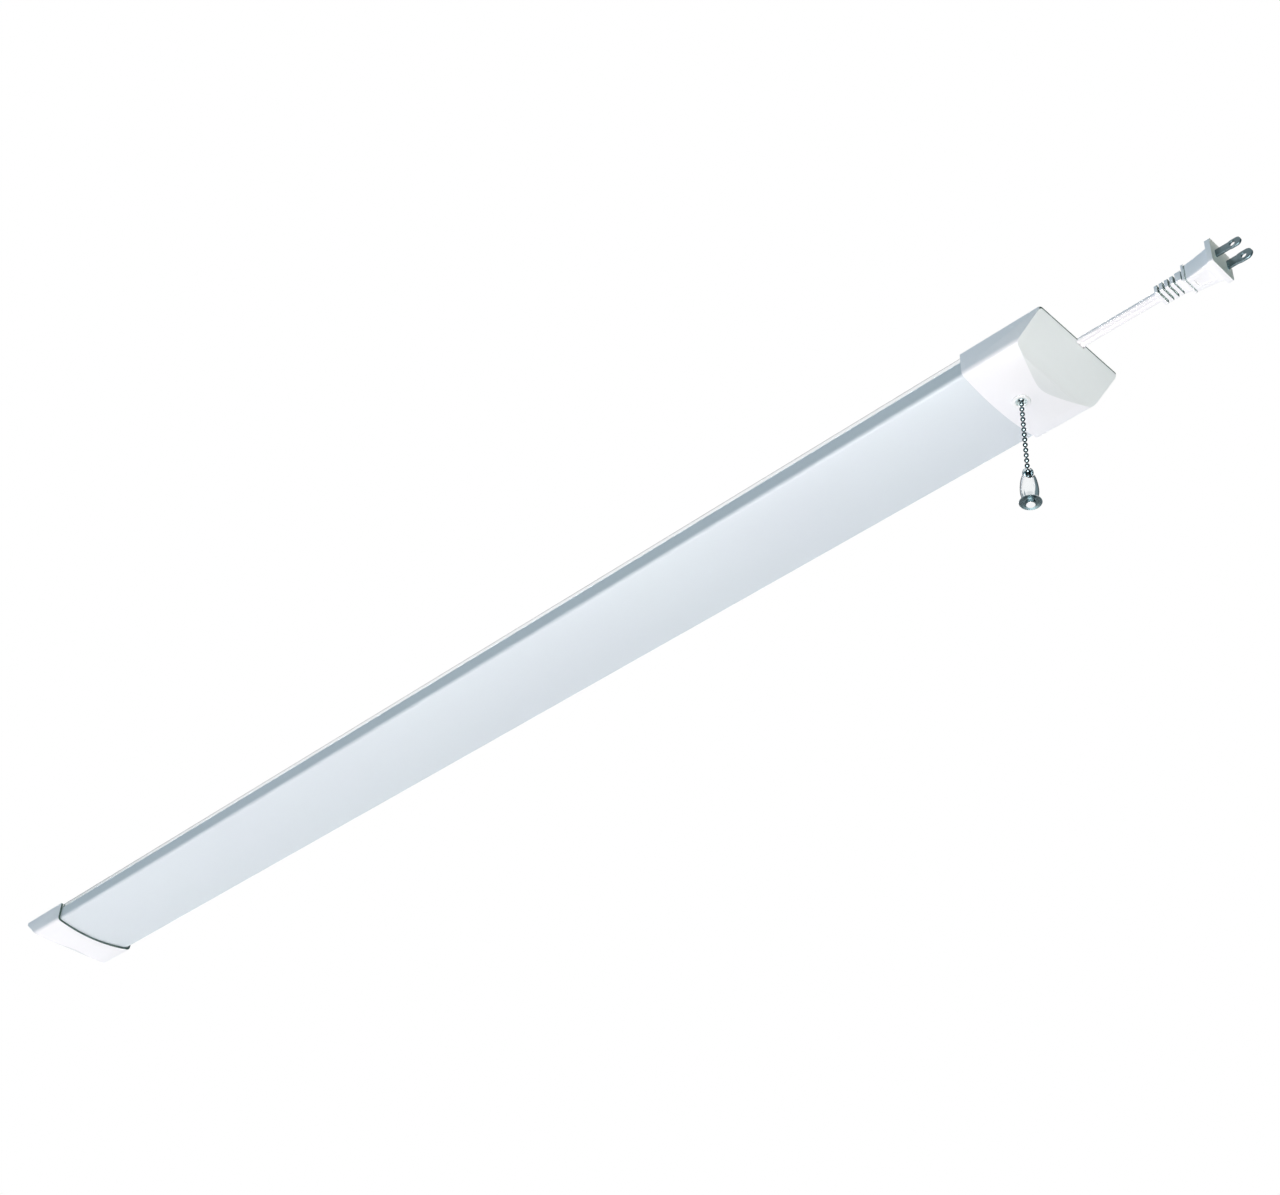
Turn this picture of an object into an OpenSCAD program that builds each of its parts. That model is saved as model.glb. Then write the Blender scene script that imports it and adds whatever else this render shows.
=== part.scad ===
// Slim hanging shop light: sheet metal pan, curved diffuser, raked end caps, pull chain switch, flat cord.
// Origin: centre of the flat back face. +X runs along the light to the switch and cord end, +Z is up.

/* [Fixture] */
// Length over both end caps
overall_l = 1219; // [1160:1:1400]
// Width over the sheet metal pan
pan_w = 77.3; // [74:0.1:90]
// Depth of the end caps at their centre line
wrap_depth = 22.6; // [22.2:0.1:26]
// Radius of the curved underside of the end caps
crown_r = 157.6; // [140:0.1:220]
// Inward lean of the side walls, run per unit of depth
draft = 0.03; // [0:0.01:0.04]

/* [Pan] */
// Thickness of the pan and tray sheet
sheet_t = 0.8; // [0.6:0.1:1]
// Height of the pan's side flanges
flange_h = 4.1; // [3.8:0.1:5]
// Width of the inward hem under each flange
hem_w = 2; // [1.8:0.1:2.2]
// Outside radius of the folded edges
bend_r = 1; // [0.5:0.1:1.4]
// Distance of the pan's ends from the ends of the light
pan_inset = 9.5; // [9.2:0.1:14]
// Distance between the two hanging holes
hang_spacing = 1016; // [900:1:1030]
// Diameter of the hanging holes
hang_hole_d = 6.4; // [5:0.1:8]

/* [Diffuser] */
// Wall of the diffuser
lens_wall = 1.4; // [1.2:0.1:1.8]
// Corner radius of the diffuser
lens_corner_r = 3.2; // [2.5:0.1:5]
// Gap between the diffuser and an end cap
lens_fit = 0.3; // [0.2:0.05:0.6]
// Length of the diffuser that is tucked into each end cap
lens_tuck = 4.5; // [3:0.5:5]

/* [End caps] */
// Length of an end cap along its top edge
cap_l = 63.3; // [62:0.1:80]
// Wall of the end caps
cap_wall = 2; // [1.6:0.1:2.4]
// Gap between the pan and an end cap
cap_fit = 0.35; // [0.2:0.05:0.6]
// Corner radius of the end caps' underside
cap_corner_r = 4; // [3.4:0.1:6]
// Plan radius of the two outer top corners
cap_plan_r = 2.2; // [2:0.1:6]
// Height of the upright rim along the top of each end face
cap_land = 1.3; // [0.8:0.1:2]
// Lean of the outer end faces from upright, in degrees
rake_deg = 51.4; // [42:0.1:52]
// Radius that rounds each end face into the underside
nose_r = 19.5; // [16:0.1:24]
// Height of the stiffening ribs in the end caps
cap_rib_h = 3; // [2:0.1:4]
// Thickness of those ribs
cap_rib_t = 1.4; // [1:0.1:2]

/* [Lighting tray] */
// Width of the tray that carries the LED boards
tray_w = 60; // [56:1:64]
// Depth of the tray's upper face below the back of the light
tray_z = 12; // [11.5:0.1:12.5]
// Height of the tray's upturned edges
tray_edge_h = 5; // [3:0.5:6]
// Width of an LED board
led_board_w = 24; // [24:1:30]
// Thickness of an LED board
led_board_t = 1; // [0.8:0.1:1.6]
// Number of LED packages on each board
led_count = 27; // [12:1:40]
// Length of an LED package
led_l = 5.6; // [3:0.1:7]
// Width of an LED package
led_w = 3; // [2:0.1:4]
// Height of an LED package
led_h = 0.7; // [0.5:0.1:1]

/* [Driver] */
// Length of the driver circuit board
driver_l = 118; // [112:1:140]
// Width of the driver circuit board
driver_w = 34; // [32:1:38]
// Thickness of the driver circuit board
driver_pcb_t = 1.6; // [1:0.1:1.6]
// Height of the tallest driver component
driver_part_h = 7.4; // [6.5:0.1:7.6]

/* [Pull switch] */
// Distance of the chain from the outer end of the light
chain_inset = 47.3; // [46:0.1:56]
// Length of the switch case along the light
case_l = 21; // [20:0.5:24]
// Width of the switch case
case_w = 17; // [16:0.5:24]
// Wall of the switch case
case_wall = 1.2; // [1:0.1:1.2]
// Diameter of the white collar round the chain
collar_d = 12.2; // [11:0.1:15]
// Diameter of the metal chain bushing
bushing_d = 7.2; // [6.6:0.1:8]
// Length of one full pull of the chain
pull_travel = 7.5; // [6:0.1:7.5]

/* [Ball chain] */
// Diameter of a chain bead
bead_d = 3.2; // [3:0.1:3.4]
// Distance between neighbouring beads
bead_pitch = 4.42; // [4.2:0.01:4.8]
// Wall of a hollow bead
bead_wall = 0.3; // [0.2:0.05:0.35]
// Diameter of the wire between beads
stem_d = 0.8; // [0.6:0.1:0.9]
// Diameter of the round head at the end of each wire
stem_head_d = 1.9; // [1.8:0.05:2]

/* [Pull bell] */
// Diameter of the ball shaped connector at the top of the bell
bell_cap_d = 7.1; // [7:0.1:8]
// Largest diameter of the bell's body
bell_d = 11.8; // [11:0.1:14]
// Diameter of the flared lip
bell_lip_d = 14.5; // [13.5:0.1:18]
// Height of the bell's body, from its seat under the connector to its lip
bell_h = 21.6; // [19:0.1:28]
// Diameter of the round button under the lip
bell_boss_d = 6; // [5:0.1:7]

/* [Cord and plug] */
// Width of the flat two core cord
cord_w = 7.8; // [7:0.1:8]
// Thickness of the cord
cord_t = 4; // [3.5:0.1:4.2]
// Width of the notch that lets the cord out
notch_w = 8.4; // [8.3:0.1:11]
// Depth of that notch at the end face
notch_h = 2.25; // [2.2:0.05:3]
// Distance of the notch from the middle of the light
notch_y = 2; // [0:0.1:4]
// Width of the plug's face
plug_w = 23.6; // [22:0.1:26]
// Height of the plug's face
plug_h = 20.6; // [18:0.1:22]
// Distance between the two blades
blade_gap = 12.7; // [12.7:0.1:12.7]
// Width of the line blade
blade_w = 6.35; // [6.35:0.01:6.35]
// Width of the wider neutral blade
blade_wide_w = 7.94; // [7.94:0.01:7.94]
// Thickness of a blade
blade_t = 1.5; // [1.4:0.05:1.6]
// Length of a blade in front of the plug's face
blade_l = 17.3; // [15.9:0.1:18.3]
// Diameter of the hole near each blade's tip
blade_hole_d = 3.5; // [3:0.1:4]

/* [Hidden] */

// Overrun of every cut past the face it opens
over = 1;
// Faces on small round parts, on fine round parts and on the corners of bent outlines
round_fn = 48;
fine_fn = 24;
corner_steps = 8;
crown_steps = 24;

// Ends of the light and the frame of the end caps
end_x = overall_l / 2;
cap_in_x = end_x - cap_l;
pan_end_x = end_x - pan_inset;
rake = tan(rake_deg);
nose_end_deg = 8;
nose_lift = 0.1;
nose_tail = 4;
nose_z = nose_r * cos(nose_end_deg) - wrap_depth + nose_lift;
nose_c = [end_x + ((nose_z + cap_land) * sin(rake_deg) - nose_r) / cos(rake_deg), nose_z];
cap_half = pan_w / 2 + cap_fit + cap_wall;
side_run = sqrt(1 + draft * draft);

// Snap rail along each long edge of the diffuser
lens_gap = 0.2;
lens_hook_w = 1.1;
lens_hook_h = 1.6;
lens_end_x = cap_in_x + lens_tuck;
lens_half = cap_half - (cap_wall + lens_fit) * side_run;
lens_depth = wrap_depth - cap_wall - lens_fit;
lens_crown_r = crown_r - cap_wall - lens_fit;
lens_shelf_z = -flange_h - lens_gap;
rail_out = pan_w / 2 - hem_w - lens_gap;
rail_in = rail_out - lens_wall;
rail_top_z = -flange_h + sheet_t + lens_gap + lens_hook_h;

// Small screws, with their dimples in the pan
screw_d = 3;
screw_head_d = 5.6;
screw_head_h = 1.6;
screw_gap = 0.1;
screw_l = 9;
dimple_h = 1.6;
dimple_r = screw_head_d / 2 + sheet_t / 2;
boss_d = 7.4;
boss_inset = 21.5;
boss_y = 28;
seat_z = -sheet_t - dimple_h;

// Lighting tray, LED boards and their fixings
tray_end_gap = 12;
tray_l = 2 * (cap_in_x - tray_end_gap);
post_d = 6;
post_y = 24;
post_inset = 16;
post_xs = [-tray_l / 2 + post_inset, 0, tray_l / 2 - post_inset];
tray_hole_d = 9;
board_split = 12;
board_end_gap = 6;
board_l = tray_l / 2 - board_split / 2 - board_end_gap;
board_top_z = -tray_z - sheet_t;
board_under_z = board_top_z - led_board_t;
board_screw_y = 8;
board_screw_shares = [0.04, 0.35, 0.65, 0.96];
connector_size = [22, 10, 2.6];

// Driver, held on the tray near the switch
driver_end_gap = 8;
driver_x = tray_l / 2 - driver_end_gap - driver_l;
driver_wall = 0.6;
driver_rim_h = 4;
driver_pad_h = 0.5;
driver_pad = 4;
driver_slack = 0.8;
pcb_z = -tray_z + driver_wall + driver_pad_h;
part_z = pcb_z + driver_pcb_t;
core_l = 17;
core_w = 16;
core_leg = 4;
winding_gap = 0.6;
capacitor_d = 7;
capacitor_l = 16;
capacitor_step = 9;
choke_d = 14;
choke_hole_d = 5;
terminal_size = [8, 22, 6];
lead_terminal_size = [6, 12, 5];

// Switch mechanism, placed round the chain's axis
chain_x = end_x - chain_inset;
floor_z = -wrap_depth + cap_wall;
case_gap = 0.03;
case_z = floor_z + case_w * case_w / (8 * (crown_r - cap_wall)) + case_gap;
case_top_z = -3.4;
cover_t = 1.2;
case_h = case_top_z - case_z - cover_t;
arm_reach = 6.5;
arm_swing = 30;
arm_t = 1.2;
arm_w = 5;
arm_slot_w = 1.7;
arm_slot_start = 5.5;
arm_l = 8.4;
arm_hub_d = 5;
pin_d = 2;
pin_fit = 0.05;
play = 0.1;
arm_x = chain_x + arm_reach;
arm_z = floor_z + 7.1;
rotor_d = 8;
rotor_t = 2.4;
rotor_teeth = 6;
rotor_tooth_h = 1;
rotor_gap = 0.4;
rotor_y = arm_w / 2 + rotor_gap;
spring_wire_d = 0.6;
spring_d = 4.4;
spring_turns = 5;
contact_t = 0.6;
contact_w = 4;
contact_h = 6;
bushing_bore_d = 3.8;
bushing_flange_d = 9.4;
bushing_flange_t = 0.6;
bushing_mouth_h = 1.1;
collar_h = 1;
collar_edge = 0.4;
collar_sleeve_d = 9.4;
collar_fit = 0.1;
mouth_z = -wrap_depth - collar_h + collar_edge;

// Ball chain: the bead that hangs in the mouth of the bushing is bead 0
bead_drop = 1.93;
bead_0_z = mouth_z - bead_drop;
bead_hole_d = 1.72;
bead_hidden = 2;
bead_visible = 13;
head_z = arm_z + arm_reach * tan(arm_swing) + (arm_t / 2 + bead_d / 2 + play) / cos(arm_swing);
function bead_z(i) = bead_0_z - i * bead_pitch;

// Pull bell
bell_wall = 0.7;
bell_slot_dir = -45;
bell_slot_w = 2.4;
bell_entry_d = 4.4;
bell_top_hole_d = 3.7;
bell_drop = 1.7;
bell_seat_drop = 2.2;
cap_centre_z = bead_z(bead_visible) - bell_drop;
bell_seat_z = cap_centre_z - bell_seat_drop;
bell_socket_d = 4;
bell_socket_gap = 0.3;
bell_lip_z = bell_seat_z - bell_h;
bell_lip_t = 0.8;
bell_dish_h = 0.9;
bell_boss_h = 1.9;
bell_boss_r = 0.5;
bell_view_deg = 38;
bell_fit = 0.05;
bell_steps = 20;
bell_belly_share = 0.57;
bell_waist_share = 0.92;
bell_neck_d = 7;
bell_waist_d = 9;

// Cord route: from the clamp inside the end cap, under the end of the pan, through the notch to the plug,
// each point set from the end of the light
cord_pts = [for (p = [[-27.5, -3.3], [-19.5, -3.3], [-12.5, -3.2], [-9.2, -2.95], [-3.3, -0.1], [0, 0], [10.5, 0],
    [22.5, 0], [34.5, 0], [46.5, 0], [58.3, 0]]) [end_x + p.x, notch_y, p.y]];
notch_turn = cord_pts[4];
notch_fall = cord_pts[4].z - cord_pts[3].z + 0.1;
cord_sides = 12;
clamp_l = 8;
clamp_h = 5;
clamp_x = cord_pts[1].x - clamp_l / 2;
clamp_y = 9.8;
clamp_w = 28;
wire_d = 2;
wire_gap = 0.05;
wire_y = 13;
wire_z = -6;
wire_sides = 8;
wire_up = [0.2, 0.3, 1];
core_y = 1.9;

// Plug, from the end of the cord to its face
plug_x = cord_pts[len(cord_pts) - 1].x;
relief_l = 20.2;
relief_w = 12.8;
relief_h = 7;
relief_core_w = 8.6;
relief_core_h = 4.8;
relief_ribs = 4;
relief_pitch = 3.75;
rib_l = 2.4;
block_l = 4;
block_h = 8.4;
plug_body_l = 20.2;
plug_back = [13.6, 13.4, -0.9];
plug_front = [19.4, 14.2, -0.6];
plug_collar = [14.8, 15.2, -0.1];
plug_collar_l = 1.8;
plug_face_z = 0.3;
plug_flange_l = 3.6;
plug_edge_r = 1.4;
plug_corner_r = 2.4;
plug_face_x = plug_x + relief_l + plug_body_l + plug_flange_l;
blade_root = 8;
blade_fit = 0.05;
blade_hole_inset = 5.8;
grip_inset = 5.3;
grip_depth = 0.6;
grip_l = 10.4;
grip_wide = 10;
grip_narrow = 6;

// Shared outlines

function unit(v) = v / norm(v);

// Points of an arc round c, from angle a0 to a1
function arc_pts(c, r, a0, a1, n, skip = 0) = [for (i = [skip:n]) c + r * [cos(a0 + (a1 - a0) * i / n),
    sin(a0 + (a1 - a0) * i / n)]];

// Centre of the corner arc that touches a leaning side wall and the crown
function corner_at(half, depth, r, crown) =
    let (a = half - r * side_run, cz = crown - depth, b = a * draft - cz,
        c = a * a + cz * cz - (crown - r) * (crown - r),
        z = (-b - sqrt(b * b - side_run * side_run * c)) / (side_run * side_run))
    [a + draft * z, z];

// Outline from right to left: leaning sides that start at height top, round corners, crowned underside
function wrap_pts(half, depth, r, crown, top = 0) =
    let (k = corner_at(half, depth, r, crown), cz = crown - depth, lean = atan(draft),
        turn = atan2(k.y - cz, k.x))
    concat([[wall_y(half, top), top]], arc_pts(k, r, -lean, turn, corner_steps),
        arc_pts([0, cz], crown, turn, -180 - turn, crown_steps, 1),
        arc_pts([-k.x, k.y], r, -180 - turn, -180 + lean, corner_steps, 1), [[-wall_y(half, top), top]]);

// Half width of that section's inner or outer wall at depth z
function wall_y(half, z) = half + draft * z;

// Extrudes a (y, z) outline along X from x0 to x1
module along_x(x0, x1) translate([x0, 0, 0]) rotate([90, 0, 90]) linear_extrude(x1 - x0) children();

// Extrudes an (x, z) outline along Y, centred
module along_y(w) rotate([90, 0, 0]) linear_extrude(w, center = true) children();

// Rounded rectangle in (y, z), centred at height z
module plug_outline(w, h, z = 0, r = plug_edge_r) translate([0, z]) polygon(concat(
    arc_pts([w / 2 - r, h / 2 - r], r, 0, 90, corner_steps), arc_pts([r - w / 2, h / 2 - r], r, 90, 180, corner_steps),
    arc_pts([r - w / 2, r - h / 2], r, 180, 270, corner_steps), arc_pts([w / 2 - r, r - h / 2], r, 270, 360, corner_steps)));

// Closed solid through a row of rings that have the same number of points
module skin(rings) {
    n = len(rings);
    m = len(rings[0]);
    polyhedron([for (r = rings) each r], concat([[for (j = [0:m - 1]) m - 1 - j]], [[for (j = [0:m - 1]) (n - 1) * m + j]],
        [for (i = [0:n - 2], j = [0:m - 1], t = [0, 1]) let (a = i * m + j, b = i * m + (j + 1) % m)
            t == 0 ? [a, b, b + m] : [a, b + m, a + m]]), convexity = 4);
}

// Round wire through the points of a path, mitred where it turns
module wire(path, d = wire_d) skin([for (i = [0:len(path) - 1])
    let (last = len(path) - 1, u = unit(path[max(i, 1)] - path[max(i, 1) - 1]),
        v = unit(path[min(i + 1, last)] - path[min(i + 1, last) - 1]), t = unit(u + v),
        a = unit(cross(t, wire_up)), b = cross(t, a), k = 1 / (t * v))
    [for (j = [0:wire_sides - 1]) let (w = d / 2 * (cos(360 * j / wire_sides) * a + sin(360 * j / wire_sides) * b),
        m = unit(v - u + t * 0.0001), side = w * m) path[i] + w + (k - 1) * side * m]]);

// Pan

module pan_outline() {
    w = pan_w / 2;
    r = bend_r;
    polygon(concat([[hem_w - w, -flange_h], [hem_w - w, sheet_t - flange_h], [sheet_t - w, sheet_t - flange_h],
        [sheet_t - w, -sheet_t], [w - sheet_t, -sheet_t], [w - sheet_t, sheet_t - flange_h],
        [w - hem_w, sheet_t - flange_h], [w - hem_w, -flange_h], [w, -flange_h]],
        arc_pts([w - r, -r], r, 0, 90, corner_steps / 2), arc_pts([r - w, -r], r, 90, 180, corner_steps / 2),
        [[-w, -flange_h]]));
}

// Places where a screw goes down through the back of the pan
function pan_screws() = concat([for (s = [-1, 1], t = [-1, 1]) [s * (end_x - boss_inset), t * boss_y]],
    [for (t = [-1, 1]) [clamp_x + clamp_l / 2, notch_y + t * clamp_y]]);

module housing_pan() color("white") difference() {
    union() {
        along_x(-pan_end_x, pan_end_x) pan_outline();
        for (p = pan_screws()) translate([p.x, p.y, seat_z]) cylinder(r = dimple_r + sheet_t, h = dimple_h, $fn = round_fn);
    }
    for (p = pan_screws()) translate(p) {
        translate([0, 0, seat_z + sheet_t]) cylinder(r = dimple_r, h = -seat_z, $fn = round_fn);
        translate([0, 0, seat_z - over]) cylinder(d = screw_d + 2 * screw_gap, h = over + dimple_h, $fn = round_fn);
    }
    for (s = [-1, 1]) translate([s * hang_spacing / 2, 0, -sheet_t - over])
        cylinder(d = hang_hole_d, h = sheet_t + 2 * over, $fn = round_fn);
}

// Diffuser

function reversed(pts) = [for (i = [len(pts) - 1:-1:0]) pts[i]];

// Rail that clips over the pan's hem, from the inner wall to the shelf's outer edge
lens_rail = [[rail_in, lens_shelf_z - lens_wall], [rail_in, rail_top_z], [rail_out, rail_top_z],
    [rail_out + lens_hook_w, rail_top_z - lens_hook_h], [rail_out, rail_top_z - lens_hook_h], [rail_out, lens_shelf_z]];

module lens_outline() polygon(concat(wrap_pts(lens_half, lens_depth, lens_corner_r, lens_crown_r, lens_shelf_z),
    [for (p = reversed(lens_rail)) [-p.x, p.y]],
    reversed(wrap_pts(lens_half - lens_wall * side_run, lens_depth - lens_wall, lens_corner_r - lens_wall,
        lens_crown_r - lens_wall, lens_shelf_z - lens_wall)), lens_rail));

module diffuser_lens() color("ghostwhite") along_x(-lens_end_x, lens_end_x) lens_outline();

// End caps, drawn at the switch end

// Solid between the inner edge and the raked end, set in by a wall t
module cap_block(t, top) intersection() {
    along_x(cap_in_x - (t > 0 ? over : 0), end_x) {
        polygon(wrap_pts(cap_half - t * side_run, wrap_depth - t, cap_corner_r - t, crown_r - t));
        if (top > 0) translate([t * side_run - cap_half, 0]) square([2 * (cap_half - t * side_run), top]);
    }
    along_y(2 * cap_half + over) polygon(concat([[cap_in_x - over, top], [end_x - t, top],
        [end_x - t, t * (1 / cos(rake_deg) - 1) / rake - cap_land]],
        arc_pts(nose_c, nose_r - t, -rake_deg, nose_end_deg - 90, corner_steps),
        [nose_c + (nose_r - t) * [sin(nose_end_deg), -cos(nose_end_deg)] - nose_tail * [cos(nose_end_deg), sin(nose_end_deg)],
        [cap_in_x - over, -wrap_depth - over]]));
}

// Plan of the end cap, with its two outer corners rounded
module cap_plan() translate([0, 0, -wrap_depth - over]) linear_extrude(wrap_depth + 2 * over) {
    r = cap_plan_r;
    polygon(concat([[cap_in_x - over, -cap_half]], arc_pts([end_x - r, r - cap_half], r, -90, 0, corner_steps),
        arc_pts([end_x - r, cap_half - r], r, 0, 90, corner_steps), [[cap_in_x - over, cap_half]]));
}

module cap_shell() difference() {
    intersection() {
        cap_block(0, 0);
        cap_plan();
    }
    difference() {
        cap_block(cap_wall, over);
        translate([pan_end_x + cap_fit, -cap_half, -cap_wall]) cube([pan_inset, 2 * cap_half, cap_wall + 2 * over]);
    }
}

// Screw bosses and ribs, cut off by the inside of the shell's outer faces
module cap_fittings() intersection() {
    cap_block(cap_wall / 2, 0);
    union() {
        for (s = [-1, 1]) {
            translate([end_x - boss_inset, s * boss_y, -wrap_depth])
                cylinder(d = boss_d, h = wrap_depth + seat_z, $fn = round_fn);
            translate([lens_end_x + cap_rib_t, s * (boss_y / 2) - cap_rib_t / 2, -wrap_depth])
                cube([cap_l, cap_rib_t, cap_wall + cap_rib_h]);
        }
    }
}

module end_cap() difference() {
    union() {
        cap_shell();
        cap_fittings();
    }
    for (s = [-1, 1]) translate([end_x - boss_inset, s * boss_y, seat_z - screw_l]) cylinder(d = screw_d, h = screw_l + over, $fn = round_fn);
}

module switch_end_cap() color("white") difference() {
    end_cap();
    translate([0, notch_y, 0]) along_y(notch_w) polygon([[pan_end_x, over], [pan_end_x, -notch_h - notch_fall],
        [notch_turn.x, -notch_h], [end_x + over, -notch_h], [end_x + over, over]]);
    translate([chain_x, 0, -wrap_depth - over]) cylinder(d = collar_sleeve_d + 2 * collar_fit, h = cap_wall + 2 * over, $fn = round_fn);
}

module plain_end_cap() color("white") mirror([1, 0, 0]) end_cap();

// Pan head screw whose head lies on the plane z = 0, pointing down
module screw(l = screw_l) {
    cylinder(d = screw_head_d, h = screw_head_h, $fn = round_fn);
    translate([0, 0, -l]) cylinder(d = screw_d - screw_gap, h = l, $fn = round_fn);
}

module end_cap_screws() color("silver") for (s = [-1, 1], t = [-1, 1])
    translate([s * (end_x - boss_inset), t * boss_y, seat_z + sheet_t]) screw(screw_l);

// Lighting tray and LED boards

module tray_outline() {
    w = tray_w / 2;
    polygon([[-w, tray_edge_h - tray_z - sheet_t], [sheet_t - w, tray_edge_h - tray_z - sheet_t],
        [sheet_t - w, -tray_z], [w - sheet_t, -tray_z], [w - sheet_t, tray_edge_h - tray_z - sheet_t],
        [w, tray_edge_h - tray_z - sheet_t], [w, -tray_z - sheet_t], [-w, -tray_z - sheet_t]]);
}

// Places of the screws on one LED board, from its inner end
function board_screws(side) = [for (i = [0:len(board_screw_shares) - 1])
    [side * (board_split / 2 + board_l * board_screw_shares[i]), (i % 2 == 0 ? 1 : -1) * board_screw_y]];

module screw_holes(places, z0, z1) for (p = places) translate([p.x, p.y, z0])
    cylinder(d = screw_d + 2 * screw_gap, h = z1 - z0, $fn = fine_fn);

module gear_tray() color("gainsboro") difference() {
    along_x(-tray_l / 2, tray_l / 2) tray_outline();
    screw_holes([for (x = post_xs, s = [-1, 1]) [x, s * post_y]], -tray_z - sheet_t - over, over - tray_z);
    screw_holes(concat(board_screws(-1), board_screws(1)), -tray_z - sheet_t - over, over - tray_z);
    translate([0, 0, -tray_z - sheet_t - over]) cylinder(d = tray_hole_d, h = sheet_t + 2 * over, $fn = round_fn);
}

module tray_posts() color("silver") for (x = post_xs, s = [-1, 1]) translate([x, s * post_y, -tray_z]) difference() {
    cylinder(d = post_d, h = tray_z - sheet_t, $fn = round_fn);
    translate([0, 0, -over]) cylinder(d = screw_d, h = screw_l + over, $fn = fine_fn);
}

module tray_screws() color("silver") for (x = post_xs, s = [-1, 1])
    translate([x, s * post_y, -tray_z - sheet_t]) mirror([0, 0, 1]) screw(screw_l - over);

module led_board(side) color("whitesmoke") difference() {
    translate([side > 0 ? board_split / 2 : -board_split / 2 - board_l, -led_board_w / 2, board_under_z])
        cube([board_l, led_board_w, led_board_t]);
    screw_holes(board_screws(side), board_under_z - over, board_top_z + over);
}

module led_chips(side) color("khaki") for (i = [0:led_count - 1])
    translate([side * (board_split / 2 + board_l * (i + 1) / (led_count + 1)) - led_l / 2, -led_w / 2, board_under_z - led_h])
        cube([led_l, led_w, led_h]);

module led_board_near() led_board(1);
module led_board_far() led_board(-1);
module led_chips_near() led_chips(1);
module led_chips_far() led_chips(-1);

module led_board_screws() color("silver") for (side = [-1, 1], p = board_screws(side))
    translate([p.x, p.y, board_under_z]) mirror([0, 0, 1]) screw(led_board_t + sheet_t);

module led_connector() color("white") translate([-connector_size.x / 2, -connector_size.y / 2, board_under_z - connector_size.z])
    cube(connector_size);

// The two leads from the driver to the connector between the boards
module led_leads() {
    for (s = [-1, 1]) color(s > 0 ? "red" : "black") wire([[driver_x, s * core_y, wire_z],
        [0, s * core_y, wire_z], [0, s * core_y, board_under_z]]);
}

// Driver

module driver_tray() color("ivory") {
    l = driver_l + 2 * (driver_slack + driver_wall);
    w = driver_w + 2 * (driver_slack + driver_wall);
    translate([driver_x - driver_slack - driver_wall, -w / 2, -tray_z]) difference() {
        cube([l, w, driver_rim_h]);
        translate([driver_wall, driver_wall, driver_wall]) cube([l - 2 * driver_wall, w - 2 * driver_wall, driver_rim_h]);
    }
    for (i = [0, 1], s = [-1, 1]) translate([driver_x + i * (driver_l - driver_pad), s * (driver_w - driver_pad) / 2 - driver_pad / 2,
        -tray_z]) cube([driver_pad, driver_pad, driver_wall + driver_pad_h]);
}

module driver_board() color("darkgreen") translate([driver_x, -driver_w / 2, pcb_z]) cube([driver_l, driver_w, driver_pcb_t]);

module driver_transformer() translate([driver_x + driver_l * 0.45, 0, part_z]) {
    color("dimgray") difference() {
        translate([-core_l / 2, -core_w / 2, 0]) cube([core_l, core_w, driver_part_h]);
        for (s = [-1, 1]) translate([s * (core_l / 4) - (core_l / 2 - core_leg) / 2, -core_w / 2 - over, core_leg / 2])
            cube([core_l / 2 - core_leg, core_w + 2 * over, driver_part_h - core_leg]);
    }
}

module driver_capacitors() color("darkslateblue") for (i = [0:2])
    translate([driver_x + driver_l * 0.68 + i * capacitor_step * 0.9, -capacitor_l / 2, part_z + capacitor_d / 2]) rotate([-90, 0, 0])
        cylinder(d = capacitor_d, h = capacitor_l, $fn = round_fn);

module driver_choke() color("peru") translate([driver_x + driver_l * 0.22, 0, part_z]) difference() {
    cylinder(d = choke_d, h = driver_part_h - 2 * driver_wall, $fn = round_fn);
    translate([0, 0, -over]) cylinder(d = choke_hole_d, h = driver_part_h + 2 * over, $fn = round_fn);
}

module driver_terminals() color("seagreen") {
    translate([driver_x + driver_l - terminal_size.x, -terminal_size.y / 2, part_z]) cube(terminal_size);
    translate([driver_x, -lead_terminal_size.y / 2, part_z]) cube(lead_terminal_size);
}

// Cord clamp and inner wires

module cord_clamp() color("dimgray") translate([clamp_x, notch_y, 0]) difference() {
    translate([0, -clamp_w / 2, seat_z - clamp_h]) cube([clamp_l, clamp_w, clamp_h]);
    translate([-over, -cord_w / 2 - cap_fit, cord_pts[0].z - cord_t / 2]) cube([clamp_l + 2 * over, cord_w + 2 * cap_fit, clamp_h]);
    for (s = [-1, 1]) translate([clamp_l / 2, s * clamp_y, seat_z - clamp_h - over]) cylinder(d = screw_d, h = clamp_h + 2 * over, $fn = round_fn);
}

module cord_clamp_screws() color("silver") for (s = [-1, 1])
    translate([clamp_x + clamp_l / 2, notch_y + s * clamp_y, seat_z + sheet_t]) screw(clamp_h);

cord_in = cord_pts[0];
case_end_x = arm_x + rotor_d / 2 + rotor_gap + case_wall;
case_start_x = case_end_x - case_l;

// Wires, straight where they leave the cord, the case and the terminals
module line_wire() color("black") wire([cord_in - [wire_gap, core_y, 0], cord_in - [wire_d, core_y, 0],
    [case_end_x + wire_d, -core_y - wire_d, wire_z - wire_d], [case_end_x + wire_gap, -core_y - wire_d, wire_z - wire_d]]);

module neutral_wire() color("white") wire([cord_in + [-wire_gap, core_y, 0], cord_in + [-wire_d, core_y, 0],
    [cord_in.x - 3 * wire_d, wire_y, wire_z], [cap_in_x, wire_y, wire_z], [driver_x + driver_l + 2 * wire_d, core_y + wire_d, wire_z],
    [driver_x + driver_l, core_y + wire_d, wire_z]]);

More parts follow.
